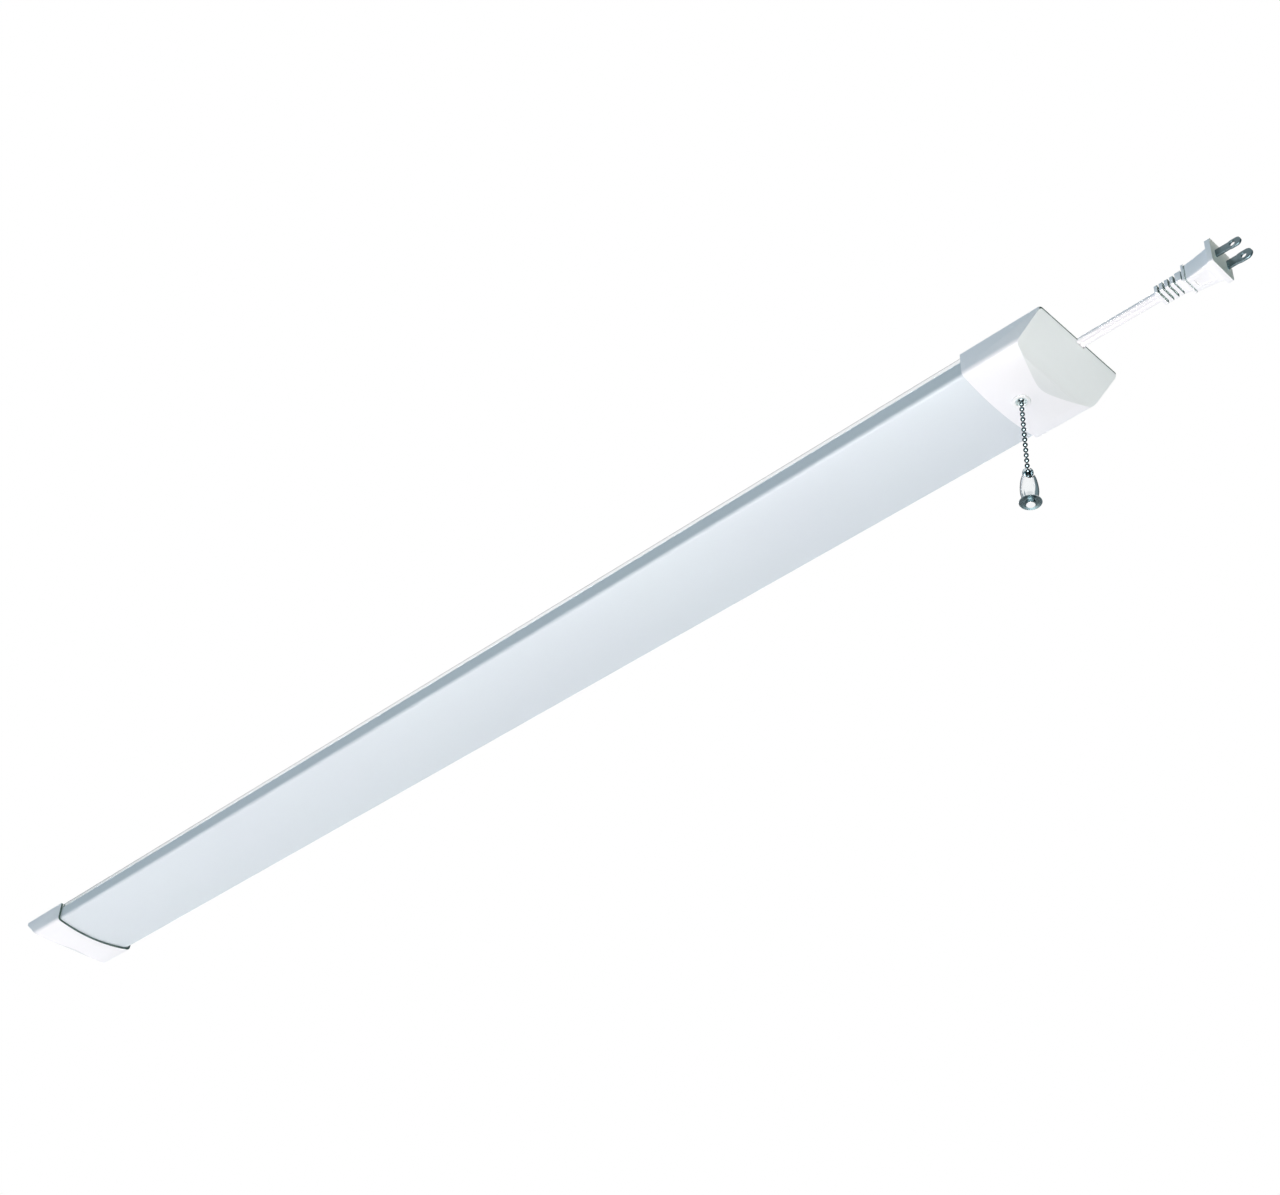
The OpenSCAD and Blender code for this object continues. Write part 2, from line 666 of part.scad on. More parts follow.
module switched_wire() color("black") wire([[case_start_x - wire_gap, -core_y - wire_d, wire_z - wire_d],
    [case_start_x - wire_d, -core_y - wire_d, wire_z - wire_d], [case_start_x - 3 * wire_d, -core_y - wire_d, wire_z],
    [driver_x + driver_l, -core_y - wire_d, wire_z]]);

// Pull chain switch

module switch_case() color("saddlebrown") difference() {
    translate([case_start_x, -case_w / 2, case_z]) cube([case_l, case_w, case_h]);
    translate([case_start_x + case_wall, case_wall - case_w / 2, case_z + case_wall])
        cube([case_l - 2 * case_wall, case_w - 2 * case_wall, case_h]);
    translate([chain_x, 0, case_z - over]) cylinder(d = bushing_d + 2 * collar_fit, h = case_wall + 2 * over, $fn = round_fn);
    translate([arm_x, -case_w / 2 - over, arm_z]) rotate([-90, 0, 0]) cylinder(d = pin_d + 2 * pin_fit, h = case_w + 2 * over, $fn = round_fn);
}

module switch_cover() color("black") translate([case_start_x, -case_w / 2, case_z + case_h]) cube([case_l, case_w, cover_t]);

module switch_contacts() color("goldenrod") for (s = [0, 1])
    translate([s == 0 ? case_start_x + case_wall : case_end_x - case_wall - contact_t, -core_y - wire_d - contact_w / 2,
        case_z + case_h - contact_h]) cube([contact_t, contact_w, contact_h]);

module switch_pin() color("silver") translate([arm_x, -case_w / 2, arm_z]) rotate([-90, 0, 0]) cylinder(d = pin_d, h = case_w, $fn = round_fn);

// Coil that brings the arm back, as a tube swept round the pin
module switch_spring() color("silver") {
    steps = spring_turns * fine_fn / 2;
    sides = 6;
    y0 = -arm_w / 2 - 2 * play - spring_wire_d / 2;
    y1 = case_wall - case_w / 2 + spring_wire_d / 2;
    skin([for (i = [0:steps]) let (a = 360 * spring_turns * i / steps)
        [for (j = [0:sides - 1]) let (b = 360 * j / sides, q = spring_d / 2 + spring_wire_d / 2 * cos(b))
            [arm_x + q * cos(a), y0 + (y1 - y0) * i / steps + spring_wire_d / 2 * sin(b),
            arm_z + q * sin(a)]]]);
}

module switch_bushing() color("silver") translate([chain_x, 0, 0]) rotate_extrude($fn = round_fn) polygon([
    [bushing_bore_d / 2, case_z + case_wall + bushing_flange_t], [bushing_flange_d / 2, case_z + case_wall + bushing_flange_t],
    [bushing_flange_d / 2, case_z + case_wall], [bushing_d / 2, case_z + case_wall], [bushing_d / 2, mouth_z],
    [bushing_d / 2 - collar_edge / 2, mouth_z], [bushing_bore_d / 2, mouth_z + bushing_mouth_h]]);

module chain_collar() color("white") translate([chain_x, 0, 0]) rotate_extrude($fn = round_fn) polygon([
    [bushing_d / 2 + collar_fit, case_z], [collar_sleeve_d / 2, case_z], [collar_sleeve_d / 2, -wrap_depth],
    [collar_d / 2, -wrap_depth], [collar_d / 2, collar_edge - wrap_depth - collar_h],
    [collar_d / 2 - collar_edge, -wrap_depth - collar_h], [bushing_d / 2 + collar_fit + collar_edge, -wrap_depth - collar_h],
    [bushing_d / 2 + collar_fit, mouth_z]]);

// Forked arm, drawn flat from its hub and raised to the rest angle
module switch_arm() color("gold") translate([arm_x, 0, arm_z]) rotate([0, arm_swing, 0]) difference() {
    union() {
        rotate([90, 0, 0]) cylinder(d = arm_hub_d, h = arm_w, center = true, $fn = round_fn);
        translate([-arm_l, -arm_w / 2, -arm_t / 2]) cube([arm_l, arm_w, arm_t]);
    }
    translate([-arm_l - over, -arm_slot_w / 2, -arm_t]) cube([arm_l + over - arm_slot_start, arm_slot_w, 2 * arm_t]);
    rotate([90, 0, 0]) cylinder(d = pin_d + 2 * pin_fit, h = arm_w + 2 * over, center = true, $fn = round_fn);
}

// Ratchet wheel with saw teeth, turned one tooth by each pull
module switch_rotor() color("firebrick") translate([arm_x, rotor_y + rotor_t, arm_z]) rotate([90, 0, 0]) difference() {
    linear_extrude(rotor_t) polygon([for (i = [0:rotor_teeth - 1], t = [0, 1]) let (a = 360 * (i + t * 0.12) / rotor_teeth,
        r = t == 0 ? rotor_d / 2 : rotor_d / 2 - rotor_tooth_h) r * [cos(a), sin(a)]]);
    translate([0, 0, -over]) cylinder(d = pin_d + 2 * pin_fit, h = rotor_t + 2 * over, $fn = round_fn);
}

// Ball chain

// Hollow bead at height z, with the wire under it and the head that the next bead turns on
module bead(z, l = bead_pitch) translate([chain_x, 0, z]) {
    difference() {
        union() {
            sphere(d = bead_d, $fn = fine_fn);
            translate([0, 0, -l]) cylinder(d = stem_d, h = l - bead_d / 2 + bead_wall / 2, $fn = fine_fn);
        }
        sphere(d = bead_d - 2 * bead_wall, $fn = fine_fn);
        cylinder(d = bead_hole_d, h = bead_d, $fn = fine_fn);
    }
    translate([0, 0, -l]) sphere(d = stem_head_d, $fn = fine_fn);
}

module beads(first, last) color("slategray") for (i = [first:last]) bead(bead_z(i));

module chain_head() color("slategray") {
    translate([chain_x, 0, head_z]) {
        sphere(d = bead_d, $fn = fine_fn);
        translate([0, 0, bead_z(-bead_hidden) - head_z]) {
            cylinder(d = stem_d, h = head_z - bead_z(-bead_hidden), $fn = fine_fn);
            sphere(d = stem_head_d, $fn = fine_fn);
        }
    }
    beads(-bead_hidden, -1);
}

module chain_link_1() beads(0, 0);
module chain_link_2() beads(1, 1);
module chain_link_3() beads(2, 2);
module chain_link_4() beads(3, 3);
module chain_link_5() beads(4, 5);
module chain_link_6() beads(6, 7);
module chain_link_7() beads(8, 9);
module chain_link_8() beads(10, bead_visible - 1);

// Pull bell

module bell_end_beads() {
    beads(bead_visible, bead_visible);
    color("slategray") translate([chain_x, 0, bead_z(bead_visible + 1)]) difference() {
        sphere(d = bead_d, $fn = fine_fn);
        sphere(d = bead_d - 2 * bead_wall, $fn = fine_fn);
        cylinder(d = bead_hole_d, h = bead_d, $fn = fine_fn);
    }
}

// Ball shaped connector, with the slot that the last beads are fed in through
module bell_connector() color("lightsteelblue") translate([chain_x, 0, cap_centre_z]) rotate([0, 0, bell_slot_dir]) difference() {
    sphere(d = bell_cap_d, $fn = round_fn);
    sphere(d = bell_cap_d - 2 * bell_wall, $fn = round_fn);
    cylinder(d = bell_top_hole_d, h = bell_cap_d, $fn = fine_fn);
    translate([0, -bell_slot_w / 2, 0]) cube([bell_cap_d, bell_slot_w, bell_cap_d]);
    rotate([0, 90 + bell_view_deg, 0]) cylinder(d = bell_entry_d, h = bell_cap_d, $fn = fine_fn);
    translate([0, 0, -bell_cap_d]) cylinder(d = bell_socket_d, h = bell_cap_d, $fn = fine_fn);
}

// Radius of the bell's body at a share t of its height, below the seat
function bell_r(t) = t < bell_belly_share
    ? bell_neck_d / 2 + (bell_d - bell_neck_d) / 2 * sqrt(sin(90 * t / bell_belly_share))
    : t < bell_waist_share
    ? bell_waist_d / 2 + (bell_d - bell_waist_d) / 2
        * sqrt(1 - pow((t - bell_belly_share) / (bell_waist_share - bell_belly_share), 2))
    : bell_waist_d / 2 + (bell_lip_d - bell_waist_d) / 2 * (1 - cos(90 * (t - bell_waist_share) / (1 - bell_waist_share)));

module bell_body() color("lightsteelblue") translate([chain_x, 0, 0]) difference() {
    rotate_extrude($fn = round_fn) polygon(concat([[0, bell_seat_z]],
        [for (i = [0:bell_steps]) [bell_r(i / bell_steps), bell_seat_z - bell_h * i / bell_steps]],
        [[bell_lip_d / 2, bell_lip_z - bell_lip_t / 2], [bell_lip_d / 2 - bell_lip_t / 2, bell_lip_z - bell_lip_t],
        [bell_boss_d / 2 + bell_lip_t, bell_lip_z - bell_lip_t + bell_dish_h]],
        arc_pts([bell_boss_d / 2 - bell_boss_r, bell_lip_z - bell_lip_t - bell_boss_h + bell_boss_r], bell_boss_r, 0, -90, corner_steps),
        [[0, bell_lip_z - bell_lip_t - bell_boss_h]]));
    translate([0, 0, cap_centre_z]) {
        sphere(d = bell_cap_d + 2 * bell_fit, $fn = round_fn);
        rotate([0, 0, bell_slot_dir]) rotate([0, 90 + bell_view_deg, 0]) cylinder(d = bell_cap_d + 6 * bell_fit, h = bell_lip_d, $fn = round_fn);
    }
    translate([0, 0, bead_z(bead_visible + 1) - bead_d / 2 - bell_socket_gap]) cylinder(d = bell_socket_d, h = bell_h, $fn = fine_fn);
}

// Cord and plug

module power_cord() color("white") {
    skin([for (p = cord_pts) [for (j = [0:cord_sides - 1]) let (a = 360 * (j + 0.5) / cord_sides)
        p + [0, (cos(a) > 0 ? 1 : -1) * (cord_w - cord_t) / 2 + cord_t / 2 * cos(a), cord_t / 2 * sin(a)]]]);
}

module plug_body() color("white") translate([0, notch_y, 0]) difference() {
    union() {
        along_x(plug_x, plug_x + relief_l) plug_outline(relief_core_w, relief_core_h);
        for (i = [0:relief_ribs - 1]) along_x(plug_x + i * relief_pitch, plug_x + i * relief_pitch + rib_l)
            plug_outline(relief_w, relief_h);
        along_x(plug_x + relief_ribs * relief_pitch, plug_x + relief_ribs * relief_pitch + block_l)
            plug_outline(relief_w, block_h);
        along_x(plug_x + relief_l, plug_x + relief_l + plug_collar_l) plug_outline(plug_collar.x, plug_collar.y, plug_collar.z);
        hull() {
            along_x(plug_x + relief_l, plug_x + relief_l + rib_l) plug_outline(plug_back.x, plug_back.y, plug_back.z);
            along_x(plug_face_x - plug_flange_l - rib_l, plug_face_x - plug_flange_l)
                plug_outline(plug_front.x, plug_front.y, plug_front.z);
        }
        along_x(plug_face_x - plug_flange_l, plug_face_x) plug_outline(plug_w, plug_h, plug_face_z, plug_corner_r);
    }
    for (s = [-1, 1]) translate([plug_face_x - blade_root, s * blade_gap / 2 - blade_t / 2 - blade_fit,
        -blade_size(s) / 2 - blade_fit])
        cube([blade_root + over, blade_t + 2 * blade_fit, blade_size(s) + 2 * blade_fit]);
    translate([plug_x + relief_l + grip_inset, 0, plug_back.z - plug_back.y / 2 - over]) linear_extrude(over + grip_depth)
        polygon([[0, -grip_narrow / 2], [grip_l, -grip_wide / 2], [grip_l, grip_wide / 2], [0, grip_narrow / 2]]);
}

function blade_size(s) = s < 0 ? blade_w : blade_wide_w;

module plug_blades() color("slategray") for (s = [-1, 1]) translate([plug_face_x - blade_root, notch_y + s * blade_gap / 2, 0])
    rotate([90, 0, 0]) linear_extrude(blade_t, center = true) difference() {
        w = blade_size(s);
        l = blade_root + blade_l;
        union() {
            translate([0, -w / 2]) square([l - w / 2, w]);
            translate([l - w / 2, 0]) circle(d = w, $fn = round_fn);
        }
        translate([l - blade_hole_inset, 0]) circle(d = blade_hole_d, $fn = fine_fn);
    }

housing_pan();
diffuser_lens();
switch_end_cap();
plain_end_cap();
end_cap_screws();
gear_tray();
tray_posts();
tray_screws();
led_board_near();
led_board_far();
led_chips_near();
led_chips_far();
led_board_screws();
led_connector();
led_leads();
driver_tray();
driver_board();
driver_transformer();
driver_capacitors();
driver_choke();
driver_terminals();
cord_clamp();
cord_clamp_screws();
line_wire();
neutral_wire();
switched_wire();
switch_case();
switch_cover();
switch_contacts();
switch_pin();
switch_spring();
switch_bushing();
chain_collar();
switch_arm();
switch_rotor();
chain_head();
chain_link_1();
chain_link_2();
chain_link_3();
chain_link_4();
chain_link_5();
chain_link_6();
chain_link_7();
chain_link_8();
bell_end_beads();
bell_connector();
bell_body();
power_cord();
plug_body();
plug_blades();
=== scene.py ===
import bpy
import bmesh
import math
from mathutils import Matrix, Vector


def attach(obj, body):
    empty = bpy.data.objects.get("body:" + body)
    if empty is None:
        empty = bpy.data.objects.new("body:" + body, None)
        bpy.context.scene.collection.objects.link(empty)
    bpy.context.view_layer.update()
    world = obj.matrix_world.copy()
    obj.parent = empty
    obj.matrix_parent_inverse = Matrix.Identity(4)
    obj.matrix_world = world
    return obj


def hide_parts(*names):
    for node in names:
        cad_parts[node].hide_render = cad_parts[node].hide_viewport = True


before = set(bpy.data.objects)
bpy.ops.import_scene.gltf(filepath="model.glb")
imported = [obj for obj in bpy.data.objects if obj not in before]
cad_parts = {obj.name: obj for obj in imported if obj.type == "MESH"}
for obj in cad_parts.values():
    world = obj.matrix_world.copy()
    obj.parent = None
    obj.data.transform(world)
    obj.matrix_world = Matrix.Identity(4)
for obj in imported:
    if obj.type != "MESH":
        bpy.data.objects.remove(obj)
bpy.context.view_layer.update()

# Hanging shop light, seen from below its cord end. Metres; the origin is the centre of the flat back.
mm = 0.001
tiny = 0.01 * mm  # points nearer than this are taken as level
squarely = 0.9    # how far a normal has to point along a direction to face it, as a cosine
scene = bpy.context.scene
scene.view_settings.view_transform = "Standard"

# The view of the photo: where the camera stands and how it is turned
cameraSet = {
    "place": (1.07498, -0.781509, -0.913876),
    "right": (0.6996323, 0.71260506, 0.05204494),
    "up": (0.4129202, -0.46269738, 0.78447947),
    "forward": (-0.5831051, 0.52735677, 0.61796706),
    "lens": 55.3224, "sensor": 36, "farthest": 60,
}


def makeCamera():
    data = bpy.data.cameras.new("viewCamera")
    data.lens = cameraSet["lens"]
    data.sensor_width = cameraSet["sensor"]
    data.clip_end = cameraSet["farthest"]
    camera = bpy.data.objects.new("viewCamera", data)
    scene.collection.objects.link(camera)
    turn = Matrix((cameraSet["right"], cameraSet["up"], [-c for c in cameraSet["forward"]])).transposed()
    camera.matrix_world = Matrix.Translation(cameraSet["place"]) @ turn.to_4x4()
    scene.camera = camera


makeCamera()
print("camera placed")


# Tools for modelling
def deselectAll():
    if bpy.context.object and bpy.context.object.mode != "OBJECT":
        bpy.ops.object.mode_set(mode="OBJECT")
    bpy.ops.object.select_all(action="DESELECT")


def useOnly(piece):
    deselectAll()
    piece.select_set(True)
    bpy.context.view_layer.objects.active = piece


def named(name):  # names the piece made last
    piece = bpy.context.object
    piece.name = name
    piece.data.name = name
    return piece


def added(primitive, name, **settings):  # primitive adds one of Blender's own shapes
    deselectAll()
    primitive(**settings)
    return named(name)


def pickFaces(piece, test):  # test takes a face's middle and normal
    mesh = bmesh.from_edit_mesh(piece.data)
    for f in mesh.faces:
        f.select_set(False)
    for f in mesh.faces:
        if test(f.calc_center_median(), f.normal):
            f.select_set(True)
    mesh.select_flush_mode()
    bmesh.update_edit_mesh(piece.data)


def pickEdges(piece, test):  # test takes an edge's two ends and the angle between its faces
    bpy.ops.mesh.select_mode(type="EDGE")
    mesh = bmesh.from_edit_mesh(piece.data)
    for e in mesh.edges:
        e.select_set(False)
    for e in mesh.edges:
        if len(e.link_faces) == 2 and test(e.verts[0].co, e.verts[1].co, e.calc_face_angle(0)):
            e.select_set(True)
    bmesh.update_edit_mesh(piece.data)


def shaped(piece, spot):  # spot takes a point's number and its place, and gives its new place
    mesh = bmesh.from_edit_mesh(piece.data)
    for k, v in enumerate(mesh.verts):
        v.co = spot(k, v.co)
    bmesh.update_edit_mesh(piece.data)


def extruded(shift):
    bpy.ops.mesh.extrude_region_move(TRANSFORM_OT_translate={"value": shift})


def resized(share, middle):
    bpy.ops.transform.resize(value=share, center_override=middle)


def applied(piece, kind, **settings):
    useOnly(piece)
    modifier = piece.modifiers.new(kind.lower(), kind)
    for key, value in settings.items():
        setattr(modifier, key, value)
    bpy.ops.object.modifier_apply(modifier=modifier.name)


def softened(piece, width, segments=2, angle=35):
    applied(piece, "BEVEL", width=width, segments=segments, limit_method="ANGLE",
            angle_limit=math.radians(angle))


def smoothed(piece, angle):
    useOnly(piece)
    bpy.ops.object.shade_smooth_by_angle(angle=math.radians(angle))


def cutBy(piece, tool):
    applied(piece, "BOOLEAN", operation="DIFFERENCE", solver="EXACT", object=tool)
    bpy.data.objects.remove(tool)


def placed(piece):  # its place goes into its mesh, and its faces point outwards
    useOnly(piece)
    bpy.ops.object.transform_apply(location=True, rotation=True, scale=True)
    bpy.ops.object.mode_set(mode="EDIT")
    bpy.ops.mesh.select_all(action="SELECT")
    bpy.ops.mesh.normals_make_consistent(inside=False)
    bpy.ops.object.mode_set(mode="OBJECT")
    return piece


def copied(piece, name, shift):
    twin = piece.copy()
    twin.data = piece.data.copy()
    twin.name = twin.data.name = name
    scene.collection.objects.link(twin)
    twin.data.transform(Matrix.Translation(shift))
    return twin


def joined(pieces, name):
    deselectAll()
    for p in pieces:
        p.select_set(True)
    bpy.context.view_layer.objects.active = pieces[0]
    bpy.ops.object.join()
    return named(name)


# A CAD copy's points nearer than this, in millimetres, and faces nearer than this, in degrees, become one
mergeSet = {"points": 0.003, "faces": 0.4}


def fromCad(node, name):  # a merged copy of a CAD node, with its flat faces whole again
    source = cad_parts[node]
    piece = source.copy()
    piece.data = source.data.copy()
    piece.parent = None
    for key in list(piece.keys()):
        del piece[key]
    piece.name = piece.data.name = name
    scene.collection.objects.link(piece)
    useOnly(piece)
    if piece.data.has_custom_normals:
        bpy.ops.mesh.customdata_custom_splitnormals_clear()
    bpy.ops.object.mode_set(mode="EDIT")
    bpy.ops.mesh.select_all(action="SELECT")
    bpy.ops.mesh.remove_doubles(threshold=mergeSet["points"] * mm)
    bpy.ops.mesh.dissolve_limited(angle_limit=math.radians(mergeSet["faces"]))
    bpy.ops.mesh.normals_make_consistent(inside=False)
    bpy.ops.mesh.select_all(action="DESELECT")
    bpy.ops.object.mode_set(mode="OBJECT")
    return piece


def dressed(piece, node, body, slot, *names):  # the finishes after the first wait for their faces
    piece.data.materials.clear()
    for name in names:
        piece.data.materials.append(finishes[name])
    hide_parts(node)
    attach(piece, body)


# Tools for shader nodes
def wire(tree, start, end):
    tree.links.new(start, end)


def withValues(node, values):  # inputs by their labels, where _ stands for a space
    for label, value in values.items():
        node.inputs[label.replace("_", " ")].default_value = value
    return node


def newNode(tree, kind, **values):
    return withValues(tree.nodes.new("ShaderNode" + kind), values)


def newGroup(name, inputs, outputs):
    group = bpy.data.node_groups.new(name, "ShaderNodeTree")
    for way, sockets in (("INPUT", inputs), ("OUTPUT", outputs)):
        for label, kind in sockets.items():
            group.interface.new_socket(name=label, in_out=way, socket_type="NodeSocket" + kind)
    return group, group.nodes.new("NodeGroupInput"), group.nodes.new("NodeGroupOutput")


def placeGroup(tree, group, **values):
    node = newNode(tree, "Group")
    node.node_tree = group
    return withValues(node, values)


def maths(tree, operation, first, second):
    node = newNode(tree, "Math")
    node.operation = operation
    wire(tree, first, node.inputs[0])
    wire(tree, second, node.inputs[1])
    return node.outputs[0]


def mixColour(tree, factor, first, second):  # each colour is a socket or three numbers
    mix = newNode(tree, "Mix")
    mix.data_type = "RGBA"
    wire(tree, factor, mix.inputs["Factor"])
    for value, socket in ((first, mix.inputs[6]), (second, mix.inputs[7])):
        if hasattr(value, "links"):
            wire(tree, value, socket)
        else:
            socket.default_value = (*value, 1)
    return mix.outputs[2]


# Effects that the finishes share; each finish gives them its own scale and amount
mottleSet = {"noise": {"Detail": 6, "Roughness": 0.62}, "spread": {"From Min": 0.32, "From Max": 0.68}}
stippleSet = {"cells": {"Smoothness": 0.7}, "grain": {"Detail": 3}}
drawnSet = {"lines": {"Detail": 4, "Roughness": 0.7}}
dustSet = {"up": {"From Min": 0.5}, "patches": {"Scale": 22, "Detail": 8, "Roughness": 0.7},
           "colour": (0.6, 0.58, 0.55, 1)}


def makeMottle():  # slow colour drift over a surface, with a finer one in it
    group, inside, out = newGroup("mottle", {
        "Position": "Vector", "Colour": "Color", "Tint": "Color", "Scale": "Float", "Amount": "Float",
        "Rough low": "Float", "Rough high": "Float"}, {"Colour": "Color", "Roughness": "Float"})
    noise = newNode(group, "TexNoise", **mottleSet["noise"])
    wire(group, inside.outputs["Position"], noise.inputs["Vector"])
    wire(group, inside.outputs["Scale"], noise.inputs["Scale"])
    spread = newNode(group, "MapRange", **mottleSet["spread"])
    wire(group, noise.outputs["Fac"], spread.inputs["Value"])
    much = maths(group, "MULTIPLY", spread.outputs["Result"], inside.outputs["Amount"])
    colour = mixColour(group, much, inside.outputs["Colour"], inside.outputs["Tint"])
    wire(group, colour, out.inputs["Colour"])
    rough = newNode(group, "MapRange")
    wire(group, spread.outputs["Result"], rough.inputs["Value"])
    wire(group, inside.outputs["Rough low"], rough.inputs["To Min"])
    wire(group, inside.outputs["Rough high"], rough.inputs["To Max"])
    wire(group, rough.outputs["Result"], out.inputs["Roughness"])
    return group


def makeStipple():  # the fine pimples of a moulding tool or of sprayed paint
    group, inside, out = newGroup("stipple", {"Position": "Vector", "Scale": "Float"}, {"Height": "Float"})
    cells = newNode(group, "TexVoronoi")
    cells.feature = "SMOOTH_F1"
    withValues(cells, stippleSet["cells"])
    grain = newNode(group, "TexNoise", **stippleSet["grain"])
    for node in (cells, grain):
        wire(group, inside.outputs["Position"], node.inputs["Vector"])
        wire(group, inside.outputs["Scale"], node.inputs["Scale"])
    wire(group, maths(group, "ADD", cells.outputs["Distance"], grain.outputs["Fac"]), out.inputs["Height"])
    return group


def makeDrawn():  # long fine lines along one direction, from rolling, drawing or extruding
    group, inside, out = newGroup("drawnLines", {
        "Position": "Vector", "Stretch": "Vector", "Scale": "Float"}, {"Height": "Float"})
    stretch = newNode(group, "VectorMath")
    stretch.operation = "MULTIPLY"
    wire(group, inside.outputs["Position"], stretch.inputs[0])
    wire(group, inside.outputs["Stretch"], stretch.inputs[1])
    lines = newNode(group, "TexNoise", **drawnSet["lines"])
    wire(group, stretch.outputs[0], lines.inputs["Vector"])
    wire(group, inside.outputs["Scale"], lines.inputs["Scale"])
    wire(group, lines.outputs["Fac"], out.inputs["Height"])
    return group


def makeDust():  # a thin film of dust on what faces up, in patches
    group, inside, out = newGroup("dustFilm", {
        "Position": "Vector", "Colour": "Color", "Dust": "Color", "Amount": "Float"},
        {"Colour": "Color", "Mask": "Float"})
    facing = newNode(group, "NewGeometry")
    parts = newNode(group, "SeparateXYZ")
    wire(group, facing.outputs["Normal"], parts.inputs[0])
    up = newNode(group, "MapRange", **dustSet["up"])
    wire(group, parts.outputs["Z"], up.inputs["Value"])
    patches = newNode(group, "TexNoise", **dustSet["patches"])
    wire(group, inside.outputs["Position"], patches.inputs["Vector"])
    mask = maths(group, "MULTIPLY", up.outputs["Result"], patches.outputs["Fac"])
    much = maths(group, "MULTIPLY", mask, inside.outputs["Amount"])
    colour = mixColour(group, much, inside.outputs["Colour"], inside.outputs["Dust"])
    wire(group, colour, out.inputs["Colour"])
    wire(group, much, out.inputs["Mask"])
    return group


mottleGroup = makeMottle()
stippleGroup = makeStipple()
drawnGroup = makeDrawn()
dustGroup = makeDust()
print("effects made")

# What a finish has where its own settings don't say otherwise
finishSet = {"drift": 200, "amount": 0.5, "grain": 1500, "depth": 0.006, "relief": 0.5, "plain": {}}


def shadedBelow(tree, colour, surface, paintedShade):  # painted shade: a colour made darker where the surface faces down and the lamps light it more, so that its tone stays even
    parts = newNode(tree, "SeparateXYZ")
    wire(tree, surface.outputs["Normal"], parts.inputs[0])
    fade = newNode(tree, "MapRange", **paintedShade)
    wire(tree, parts.outputs["Z"], fade.inputs["Value"])
    scaled = newNode(tree, "VectorMath")
    scaled.operation = "SCALE"
    wire(tree, colour, scaled.inputs[0])
    wire(tree, fade.outputs["Result"], scaled.inputs["Scale"])
    return scaled.outputs[0]


def newFinish(name, settings):
    look = {**finishSet, **settings}
    material = bpy.data.materials.new(name)
    material.use_nodes = True
    tree = material.node_tree
    shader = withValues(tree.nodes["Principled BSDF"], look["plain"])
    surface = newNode(tree, "TexCoord")
    mottle = placeGroup(tree, mottleGroup, Colour=(*look["colour"], 1), Tint=(*look["tint"], 1),
                        Scale=look["drift"], Amount=look["amount"],
                        Rough_low=look["rough"][0], Rough_high=look["rough"][1])
    wire(tree, surface.outputs["Object"], mottle.inputs["Position"])
    colour = mottle.outputs["Colour"]
    if "dust" in look:
        dust = placeGroup(tree, dustGroup, Dust=dustSet["colour"], Amount=look["dust"])
        wire(tree, surface.outputs["Object"], dust.inputs["Position"])
        wire(tree, colour, dust.inputs["Colour"])
        colour = dust.outputs["Colour"]
    if "paintedShade" in look:
        colour = shadedBelow(tree, colour, surface, look["paintedShade"])
    wire(tree, colour, shader.inputs["Base Color"])
    wire(tree, mottle.outputs["Roughness"], shader.inputs["Roughness"])
    if "stretch" in look:
        relief = placeGroup(tree, drawnGroup, Stretch=look["stretch"], Scale=look["grain"])
    else:
        relief = placeGroup(tree, stippleGroup, Scale=look["grain"])
    wire(tree, surface.outputs["Object"], relief.inputs["Position"])
    bump = newNode(tree, "Bump", Strength=look["relief"], Distance=look["depth"] * mm)
    wire(tree, relief.outputs["Height"], bump.inputs["Height"])
    wire(tree, bump.outputs["Normal"], shader.inputs["Normal"])
    return material


along, across, upright = (0.02, 1, 1), (1, 0.02, 1), (1, 1, 0.05)  # which way a finish's drawn lines run
metal, dull = {"Metallic": 1}, {"Specular IOR Level": 0.3}  # plain values that several finishes have
